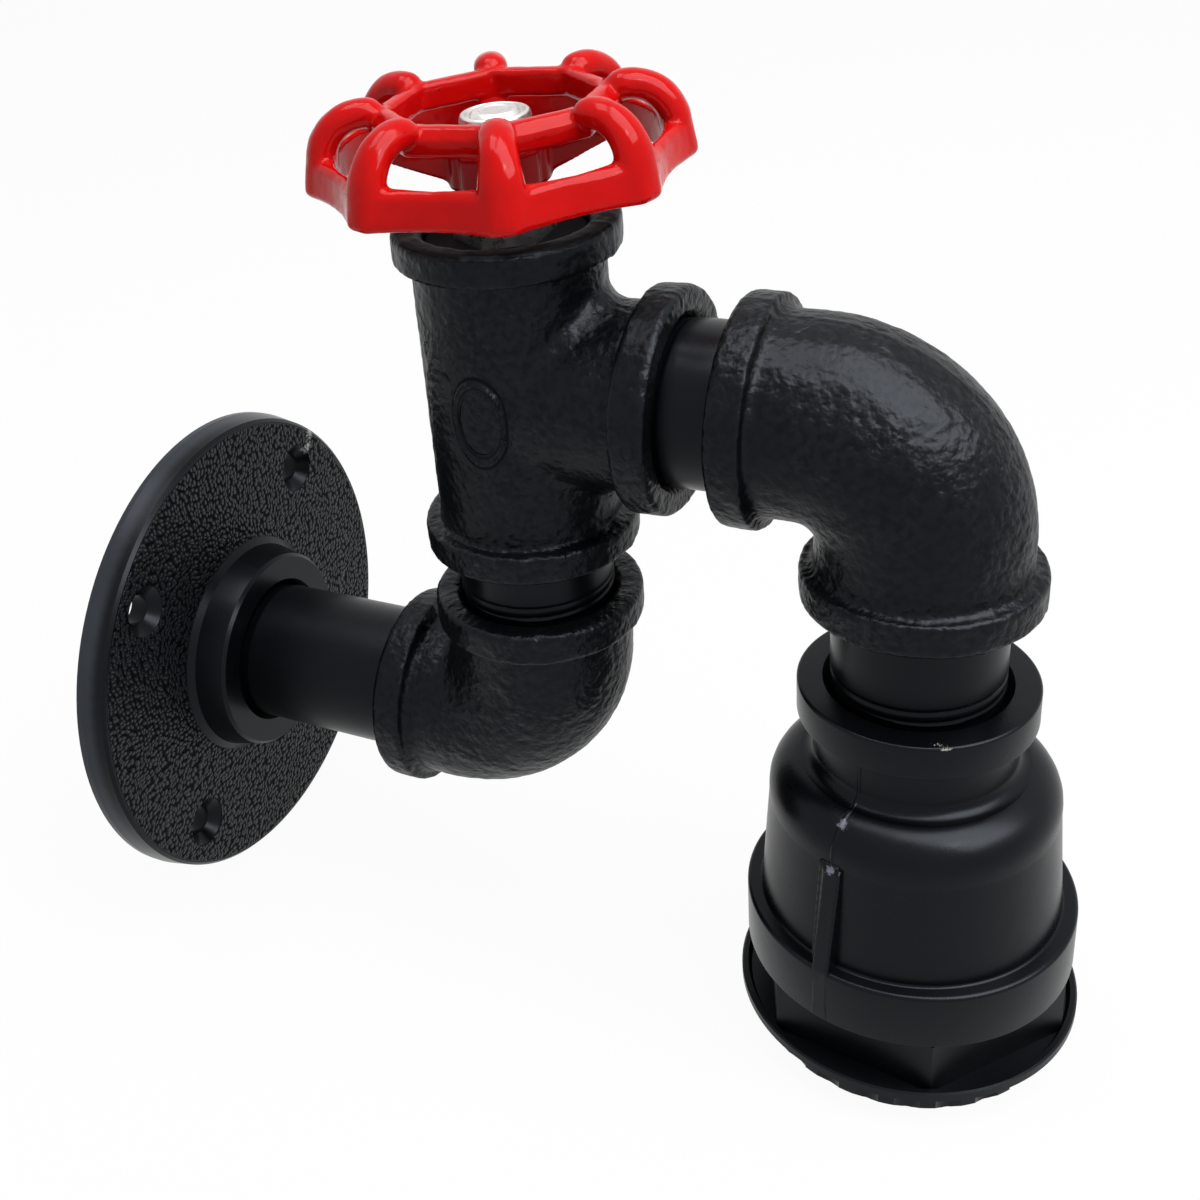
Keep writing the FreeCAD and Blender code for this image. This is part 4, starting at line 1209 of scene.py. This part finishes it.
def wheel_lobes(material: Material) -> Recipe:
    """The rule for the wheel's arched lobes: a round bar from the ring, up, over and down to the rim.

    Args:
        material: The finish that the tree sets.

    Returns:
        The tree, ready to run.
    """
    recipe = Recipe("wheel_lobes", takes_mesh=False)
    start, knee, level, bend, lean, drop = recipe.numbers(
        start=mm(16.6), knee=mm(20.0), level=mm(11.75), bend=mm(7.0), lean=math.radians(10), drop=mm(5.2))
    half_width, half_thick, flare, cap, count, rows = recipe.numbers(
        half_width=mm(2.75), half_thick=mm(2.3), flare=mm(0.85), cap=mm(3.0), lobes=8, rows=64)
    around, share = recipe.shares()
    angle = around * FULL_TURN
    straight = knee - start
    arc = bend * (math.pi / 2 - lean)
    along = share * (straight + arc + drop)
    turned = (along - straight).most(0.0).least(arc) / bend
    last = (along - straight - arc).most(0.0)
    sine = recipe.maths("SINE", turned)
    cosine = recipe.maths("COSINE", turned)
    reach = start + along.least(straight) + bend * sine + last * recipe.maths("SINE", lean)
    height = level - bend * (1.0 - cosine) - last * recipe.maths("COSINE", lean)
    near = (1.0 - along / cap).most(0.0)
    ends = (1.0 - near * near).most(0.0) ** 0.5 * (1.0 - share.over(0.9999))
    widen = along.rise(straight + arc * 0.3, straight + arc + drop * 0.6) * flare
    across = recipe.maths("COSINE", angle) * (half_width + widen) * ends
    out = recipe.maths("SINE", angle) * (half_thick + turned * mm(0.12)) * ends
    place = recipe.joined(reach + out * sine, across, height + out * cosine)
    lobe = recipe.wrapped(49, rows + 1.0, place)
    spots = recipe.node("GeometryNodeMeshLine", {"mode": "OFFSET"}, {"Count": count, "Offset": ORIGIN})
    turn = recipe.node("GeometryNodeInputIndex") * FULL_TURN / count
    ring = recipe.node("GeometryNodeInstanceOnPoints", None, {
        "Points": spots, "Instance": lobe, "Rotation": recipe.joined(0.0, 0.0, turn)})
    return recipe.close(ring, material)


def screw_shell(material: Material) -> Recipe:
    """The rule for the lamp's screw shell: thin sheet rolled into a round thread.

    Args:
        material: The finish that the tree sets.

    Returns:
        The tree, ready to run.
    """
    recipe = Recipe("screw_shell", takes_mesh=False)
    length, outer, wall, pitch, depth, rows, steps = recipe.numbers(
        length=mm(21), outer_radius=mm(13.78), wall=mm(0.35), pitch=mm(3.62), depth=mm(0.75),
        rows=80, steps=128)
    around, share = recipe.shares()
    angle = around * FULL_TURN
    # The rows run up the outside, back down the inside, and a last one closes the sheet.
    row = share * (rows * 2.0 + 2.0)
    back = row.over(rows + 0.5)
    along = row / rows * (1.0 - back) + (2.0 * rows + 1.0 - row) / rows * back
    z = along.most(0.0).least(1.0) * length
    inner = back * (1.0 - row.over(rows * 2.0 + 1.5))
    plain = z.rise(mm(0.4), mm(1.6)) * (1.0 - z.rise(length - mm(1.6), length - mm(0.4)))
    phase = (z / pitch - angle / FULL_TURN) * FULL_TURN
    wave = (0.5 - recipe.maths("COSINE", phase) * 0.5) * depth * plain
    radius = outer - wave - wall * inner
    place = recipe.polar(radius, angle, z)
    return recipe.close(recipe.wrapped(steps + 1.0, rows * 2.0 + 3.0, place), material)


# Sub-assemblies

@dataclass
class Fittings:
    """The pipe run from the wall to the lamp: flange, nipples, elbows and tee."""

    finishes: Finishes
    tee_level: float = 66.4
    voxel: float = 0.42
    passes: int = 3

    def build(self) -> None:
        """Make every fitting; the flange and the cables keep their CAD shape."""
        repaint(self.finishes.flange, "wall_flange")
        repaint(self.finishes.sheath, "wall_cable", "arm_cable", "head_cable", "switch_leads")
        self.castings()
        self.nipples()

    def castings(self) -> None:
        """Elbows and tee with softened bands, lumps and a parting line."""
        skin = casting_skin(self.finishes.cast)
        for node, body in (("lower_elbow", Body.WALL), ("tee", Body.ARM), ("upper_elbow", Body.HEAD)):
            piece = softened(merged_copy(node, "cast_" + node), self.voxel, self.passes)
            skin.run(piece, lump=mm(3.4), lump_height=mm(0.12), pebble=mm(1.5), pebble_height=mm(0.11),
                     seam_height=mm(0.1), seam_half=mm(0.7))
            if node == "tee":
                OvalPad().raise_on(piece)
            seated(piece, 60.0, body, Slot.CAST, self.finishes.cast, node)

    def nipples(self) -> None:
        """The four pipes, threaded at both ends."""
        tube = threaded_pipe(self.finishes.pipe)
        upright = Matrix.Identity(3)
        outward = Matrix.Rotation(math.radians(90), 3, "X")
        rows = (
            ("wall_nipple", Body.WALL, 55.5, outward, (0.0, -1.5, 0.0), 12.6),
            ("riser_nipple", Body.WALL, 33.84, upright, (0.0, -TEE_REACH, 16.0), 15.2),
            ("branch_nipple", Body.ARM, 32.74, outward, (0.0, -89.7, self.tee_level), 12.6),
            ("lamp_nipple", Body.HEAD, 39.3, upright, (0.0, -HEAD_REACH, 11.1), 15.6),
        )
        for node, body, length, turn, place, lead in rows:
            piece = new_piece("pipe_" + node)
            tube.run(piece, length=mm(length), lead_low=mm(lead), lead_high=mm(12.6))
            moved(closed(piece), turn, place)
            seated(piece, 50.0, body, Slot.PIPE, self.finishes.pipe, node)


def off_middle(angles: np.ndarray, step: float) -> np.ndarray:
    """Degrees from the middle of the step round the axis that each angle is in."""
    return (np.degrees(angles) % step) - step / 2


@dataclass
class Handwheel:
    """Red cast wheel with its plated screw, washer and spindle, over the switch in the tee."""

    finishes: Finishes
    base: float = 101.6
    turn: float = 27.8
    seat: float = 8.1
    lobes: int = 8
    spokes: int = 4
    flutes: int = 10
    flute_half: float = 7.0
    flute_depth: float = 0.6
    boss_wall: float = 7.9
    rim_radius: float = 30.2
    rim_height: float = 6.0
    rim_inner: float = 25.0
    valley: float = 27.2
    valley_curve: float = 40.0
    ring_corner: float = 19.5
    ring_hollow: float = 15.6
    ring_base: float = 7.9
    ring_top: float = 12.3
    voxel: float = 0.36
    passes: int = 6

    def build(self) -> None:
        """Make the wheel and what fixes it, over the plug, nut and switch, which keep their shape."""
        self.casting()
        self.centre()
        repaint(self.finishes.plated, "switch_spindle", "switch_nut")
        repaint(self.finishes.bush, "switch_bush")
        repaint(self.finishes.case, "switch_body")

    def scalloped(self, angles: np.ndarray, radii: np.ndarray) -> np.ndarray:
        """Pull the rim's outer wall in by a shallow valley between each two lobes.

        Args:
            angles: Angle of each point round the axis.
            radii: Its radius on a round rim.

        Returns:
            Its radius on the wheel.
        """
        rad = np.radians(np.abs(off_middle(angles, 360 / self.lobes)))
        centre = self.valley + self.valley_curve
        valley = centre * np.cos(rad) - np.sqrt(self.valley_curve ** 2 - (centre * np.sin(rad)) ** 2)
        pull = np.maximum(self.rim_radius - valley, 0.0)
        return np.where(radii > self.rim_inner + 1.0, radii - pull, radii)

    def octagon(self, angles: np.ndarray, radii: np.ndarray) -> np.ndarray:
        """Radii of an eight-sided ring with its corners at the lobes."""
        off = np.radians(off_middle(angles, 360 / self.lobes))
        return radii * math.cos(math.radians(180 / self.lobes)) / np.cos(off)

    def fluted(self, angles: np.ndarray, radii: np.ndarray) -> np.ndarray:
        """Radii of the boss's wall, with shallow flutes."""
        groove = peak(off_middle(angles, 360 / self.flutes), 0.0, self.flute_half) * self.flute_depth
        return np.where(radii > self.boss_wall, radii - groove, radii)

    def casting(self) -> None:
        """Rim, ring, boss, spokes, lobes and nubs as one casting, its joints flowing together."""
        inner, outer, top = self.rim_inner, self.rim_radius, self.rim_height
        rim = [
            (inner, 0.3), (inner + 0.4, 0.0), (outer - 0.9, 0.0), (outer, 0.9),
            (outer - 0.75, top - 0.9), (outer - 1.7, top), (inner + 0.3, top), (inner, top - 0.3)]
        ring = rounded([
            (self.ring_hollow, self.ring_base, 0.6), (self.ring_corner - 0.3, self.ring_base, 0.9),
            (self.ring_corner, 10.6, 0.3), (self.ring_corner - 1.5, self.ring_top, 0.3),
            (self.ring_hollow, self.ring_top, 0.8)], 4)
        boss = [
            (3.0, -1.0), (7.6, -1.0), (8.1, -0.5), (8.1, 4.8), (7.6, 5.4), (6.1, 5.5), (6.0, self.seat),
            (3.0, self.seat)]
        spoke = [
            (4.0, 0.2), (8.1, 0.4), (17.8, 4.6), (18.5, 9.2), (15.7, 9.0), (15.1, 7.2), (12.4, 5.3),
            (7.7, 4.6), (4.0, 4.6)]
        nub = [(15.3, 8.6), (17.2, 8.3), (17.2, 12.6), (15.6, 12.2)]
        piece = gathered("wheel_casting", [
            lathe("rim", rim, ORIGIN, 384, self.scalloped),
            lathe("ring", ring, ORIGIN, 256, self.octagon),
            lathe("boss", boss, ORIGIN, 240, self.fluted),
            *bars_round("spoke", spoke, 2.3, self.spokes),
            wheel_lobes(self.finishes.red).run(new_piece("lobes"), lobes=self.lobes),
            *bars_round("nub", nub, 0.9, self.lobes),
        ])
        moved(piece, about_z(self.turn), (0.0, -TEE_REACH, self.base))
        softened(piece, self.voxel, self.passes)
        casting_skin(self.finishes.red).run(
            piece, lump=mm(4.0), lump_height=mm(0.12), pebble=mm(1.6), pebble_height=mm(0.02))
        seated(piece, 70.0, Body.WHEEL, Slot.RED, self.finishes.red, "handwheel")

    def centre(self) -> None:
        """Thick cupped washer with a round flat screw head sunk in it."""
        washer = [
            (1.7, 0.0, 0.0), (5.2, 0.0, 0.3), (5.6, 0.6, 0.4), (5.3, 1.75, 0.5), (4.75, 1.85, 0.25),
            (4.25, 1.05, 0.3), (1.7, 0.95, 0.0)]
        screw = [
            (0.0, -5.8, 0.0), (1.55, -5.8, 0.2), (1.55, 1.0, 0.0), (3.95, 1.0, 0.1), (4.0, 1.5, 0.3),
            (3.4, 2.15, 0.5), (2.6, 2.12, 0.3), (2.2, 1.95, 0.3), (0.0, 2.0, 0.0)]
        axis = (0.0, -TEE_REACH, self.base + self.seat)
        rows = (("cup_washer", washer, "wheel_washer"), ("centre_screw", screw, "wheel_screw"))
        for name, outline, node in rows:
            piece = lathe(name, rounded(outline), axis, 128)
            seated(piece, 50.0, Body.WHEEL, Slot.PLATED, self.finishes.plated, node)


@dataclass
class LampHead:
    """The bell-shaped reducer and the lampholder that it carries."""

    finishes: Finishes
    bell_top: float = 23.1
    seam_turn: float = 162.0
    seam_width: float = 3.9
    bead: Tuple[Pair, ...] = ((-0.45, -0.25), (-0.3, 0.06), (0.0, 0.14), (0.3, 0.06), (0.45, -0.25))

    def build(self) -> None:
        """Make the bell, its seams and the holder."""
        self.bell()
        for which in (0, 1):
            self.rib(which)
            self.seam(which)
        self.holder()

    def bell(self) -> None:
        """The turned bell with its collar and its band."""
        outline = rounded([
            (14.5, 0.0, 0.2), (18.5, 0.0, 0.55), (18.5, -6.0, 0.35), (15.7, -6.05, 0.7),
            (15.7, -15.2, 2.2), (22.9, -15.25, 6.6), (22.95, -23.6, 8.0), (24.3, -42.5, 0.5),
            (26.8, -42.55, 0.7),
            (26.8, -53.2, 0.45), (22.2, -53.2, 0.2), (21.4, -52.2, 0.2), (21.4, -39.2, 0.2),
            (20.6, -39.2, 0.2), (20.6, -26.6, 2.0), (19.1, -22.1, 1.0), (12.4, -16.7, 1.0),
            (12.4, -12.0, 0.1), (13.1, -12.0, 0.1), (13.1, -1.6, 0.3),
        ], 8)
        piece = lathe("bell_casting", outline, (0.0, -HEAD_REACH, self.bell_top), 256)
        seated(piece, 40.0, Body.HEAD, Slot.CAST, self.finishes.bell, "bell_reducer")

    def set_on(self, piece: Piece, which: int, crease: float) -> None:
        """Turn a rib or a bead from the XZ plane to its side of the bell and give it the bell's finish.

        Args:
            piece: The rib or the bead.
            which: 0 for the side in view, 1 for the side opposite.
            crease: Angle in degrees over which an edge stays sharp.
        """
        moved(piece, about_z(self.seam_turn + 180 * which), (0.0, -HEAD_REACH, self.bell_top))
        seated(piece, crease, Body.HEAD, Slot.CAST, self.finishes.bell)

    def rib(self, which: int) -> None:
        """The flat rib on the bell's wall, flush with the band below, and the lower step at its side.

        Args:
            which: 0 for the side in view, 1 for the side opposite.
        """
        half = self.seam_width / 2
        strip = [(21.5, -23.4), (23.75, -23.9), (26.78, -42.9), (26.86, -52.9), (21.5, -52.9)]
        step = [(21.5, -22.6), (23.3, -23.1), (25.6, -43.2), (21.5, -43.2)]
        piece = gathered("bell_rib_%d" % which, [
            bar("strip", strip, -half + 0.9, half), bar("step", step, -half - 0.1, half - 0.5)])
        softened(piece, 0.22, 3)
        self.set_on(piece, which, 50.0)

    def seam(self, which: int) -> None:
        """The thin parting bead from the collar, over the shoulder, to the rib.

        Args:
            which: 0 for the side in view, 1 for the side opposite.
        """
        path = rounded([
            (15.72, -5.6, 0.0), (15.72, -15.2, 2.2), (22.92, -15.25, 6.6), (22.98, -24.6, 0.0)], 10)
        verts: List[Point] = []
        for i, (across, up) in enumerate(path):
            before = np.array(path[max(i - 1, 0)])
            after = np.array(path[min(i + 1, len(path) - 1)])
            along = (after - before) / np.linalg.norm(after - before)
            out = np.array([-along[1], along[0]])
            if out[0] < 0 and abs(out[1]) < 0.5 or out[1] < -0.5:
                out = -out
            for sideways, lift in self.bead:
                spot = np.array([across, up]) + out * lift
                verts.append((mm(spot[0]), mm(sideways), mm(spot[1])))
        width, last = len(self.bead), (len(path) - 1) * len(self.bead)
        faces: List[Tuple[int, ...]] = []
        for i in range(0, last, width):
            for k in range(width):
                j = (k + 1) % width
                faces.append((i + k, i + j, i + width + j, i + width + k))
        faces += [tuple(range(width)), tuple(range(last, last + width))]
        self.set_on(solid("bell_seam_%d" % which, verts, faces), which, 60.0)

    def holder(self) -> None:
        """The lampholder's screw shell, and its mouldings and contacts, which keep their CAD shape."""
        repaint(self.finishes.holder, "holder_shell", "shade_ring")
        repaint(self.finishes.porcelain, "holder_insert")
        repaint(self.finishes.plated, "terminal_screws")
        repaint(self.finishes.brass, "centre_contact")
        repaint(self.finishes.sheath, "holder_wires")
        piece = closed(screw_shell(self.finishes.nickel).run(new_piece("lamp_screw_shell")))
        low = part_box("thread_shell")[0]
        piece.data.transform(Matrix.Translation((0.0, -mm(HEAD_REACH), low.z)))
        seated(piece, 60.0, Body.HEAD, Slot.NICKEL, self.finishes.nickel, "thread_shell")


# Studio

def heading(azimuth: float, elevation: float) -> Vector:
    """The unit vector towards an azimuth and an elevation in degrees, 0,0 being the front."""
    turn, rise = math.radians(azimuth), math.radians(elevation)
    return Vector((math.sin(turn) * math.cos(rise), -math.cos(turn) * math.cos(rise), math.sin(rise)))


@dataclass(frozen=True)
class SoftBox:
    """One rectangular lamp that points at the light from a distance."""

    name: str
    azimuth: float
    elevation: float
    width: float
    height: float
    power: float


@dataclass
class Studio:
    """Camera, pale floor, white surroundings and soft lamps.

    Each lamp has a twin behind it, gloss_gap further away, that lights gloss alone.
    """

    camera_place: Point = (-208.723, -183.740, 173.763)
    azimuth: float = -57.024
    elevation: float = 28.506
    roll: float = -7.780
    lens: float = 47.083
    sensor: float = 36.0
    shift: Pair = (0.15833, -0.0767)
    floor_level: float = -47.2
    floor_radius: float = 5.0
    floor_glow: float = 0.95
    floor_tones: Tuple[Colour, Colour] = ((0.78, 0.78, 0.78), (0.8, 0.8, 0.8))
    white: Colour = (1.0, 1.0, 1.0)
    fill: float = 0.27
    subject: Point = (0.0, -80.0, 40.0)
    lamp_distance: float = 900.0
    gloss_share: float = 0.85
    gloss_gap: float = 12.0
    boxes: Tuple[SoftBox, ...] = (
        SoftBox("main_box", -8.0, 66.0, 700.0, 780.0, 7.6),
        SoftBox("back_box", 180.0, 76.0, 450.0, 330.0, 1.7),
        SoftBox("low_box", -8.0, 36.0, 640.0, 230.0, 2.3),
        SoftBox("spark", -32.0, 50.0, 120.0, 60.0, 0.4),
    )

    def build(self) -> None:
        """Make the studio."""
        scene = bpy.context.scene
        scene.view_settings.view_transform = "Standard"
        self.camera(scene)
        self.floor()
        self.world(scene)
        self.lamps()

    def camera(self, scene: bpy.types.Scene) -> None:
        """Set up the camera at the photograph's viewing angle.

        Args:
            scene: The scene that looks through it.
        """
        data = bpy.data.cameras.new("camera")
        data.sensor_width = self.sensor
        data.lens = self.lens
        data.shift_x, data.shift_y = self.shift
        data.clip_start = 0.01
        data.clip_end = 50.0
        camera = bpy.data.objects.new("camera", data)
        scene.collection.objects.link(camera)
        back = heading(self.azimuth, self.elevation)
        level = Vector((0, 0, 1)).cross(back).normalized()
        roll = math.radians(self.roll)
        right = math.cos(roll) * level + math.sin(roll) * back.cross(level)
        turn = Matrix((right, back.cross(right), back)).transposed().to_4x4()
        camera.matrix_world = Matrix.Translation(Vector(self.camera_place) * 0.001) @ turn
        scene.camera = camera

    def floor(self) -> None:
        """A wide pale floor that shows white but keeps part of the shadow, and is open from below."""
        shape = bmesh.new()
        bmesh.ops.create_circle(shape, cap_ends=True, segments=96, radius=self.floor_radius)
        mesh = bpy.data.meshes.new("floor")
        shape.to_mesh(mesh)
        shape.free()
        mesh.transform(Matrix.Translation((0.0, 0.0, mm(self.floor_level))))
        if mesh.polygons[0].normal.z < 0:
            mesh.flip_normals()
        paint = Paint("pale_floor")
        pale = paint.blend(paint.noise(18.0, 3.0), *self.floor_tones)
        lit = paint.node("ShaderNodeBsdfDiffuse", None, {"Color": pale})
        white = paint.node("ShaderNodeEmission", None, {"Color": self.white, "Strength": 1.0})
        share = self.seen(paint) * self.floor_glow
        top = paint.node("ShaderNodeMixShader", None, {0: share, 1: lit, 2: white})
        clear = paint.node("ShaderNodeBsdfTransparent")
        below = paint.node("ShaderNodeNewGeometry", None, None, "Backfacing")
        both = paint.node("ShaderNodeMixShader", None, {0: below, 1: top, 2: clear})
        paint.end("ShaderNodeOutputMaterial", both)
        mesh.materials.append(paint.material)
        new_piece("floor", mesh)

    @staticmethod
    def seen(graph: Graph) -> Sock:
        """1 for the rays that see the background: camera, glossy and transmission rays."""
        first = graph.node("ShaderNodeLightPath", None, None, "Is Camera Ray")
        return first.most(first.beside("Is Glossy Ray")).most(first.beside("Is Transmission Ray"))

    def world(self, scene: bpy.types.Scene) -> None:
        """Make surroundings that are white to the camera and to reflections, and softer as light.

        Args:
            scene: The scene that they surround.
        """
        world = bpy.data.worlds.new("surroundings")
        world.use_nodes = True
        world.node_tree.nodes.clear()
        graph = Graph(world.node_tree)
        strength = self.fill + self.seen(graph) * (1.0 - self.fill)
        shade = graph.node("ShaderNodeBackground", None, {"Color": self.white, "Strength": strength})
        graph.end("ShaderNodeOutputWorld", shade)
        scene.world = world

    def lamps(self) -> None:
        """Soft boxes above the front, where the photograph's highlights point, each with its twin."""
        for box in self.boxes:
            away = heading(box.azimuth, box.elevation)
            facing = away.to_track_quat("Z", "Y").to_matrix().to_4x4()
            for ending, share, behind in (("", 1.0, 0.0), ("_gloss", self.gloss_share, self.gloss_gap)):
                data = bpy.data.lights.new(box.name + ending, "AREA")
                data.shape = "RECTANGLE"
                data.size = mm(box.width)
                data.size_y = mm(box.height)
                data.energy = box.power * share
                lamp = bpy.data.objects.new(box.name + ending, data)
                lamp.visible_diffuse = not ending
                bpy.context.scene.collection.objects.link(lamp)
                place = Vector(self.subject) * 0.001 + away * mm(self.lamp_distance + behind)
                lamp.matrix_world = Matrix.Translation(place) @ facing


def main() -> None:
    """Build the studio and the light, piece by piece."""
    Studio().build()
    finishes = Finishes()
    for part in (Fittings(finishes), Handwheel(finishes), LampHead(finishes)):
        part.build()
        LOG.info("%s built", type(part).__name__)


if __name__ == "__main__":
    main()
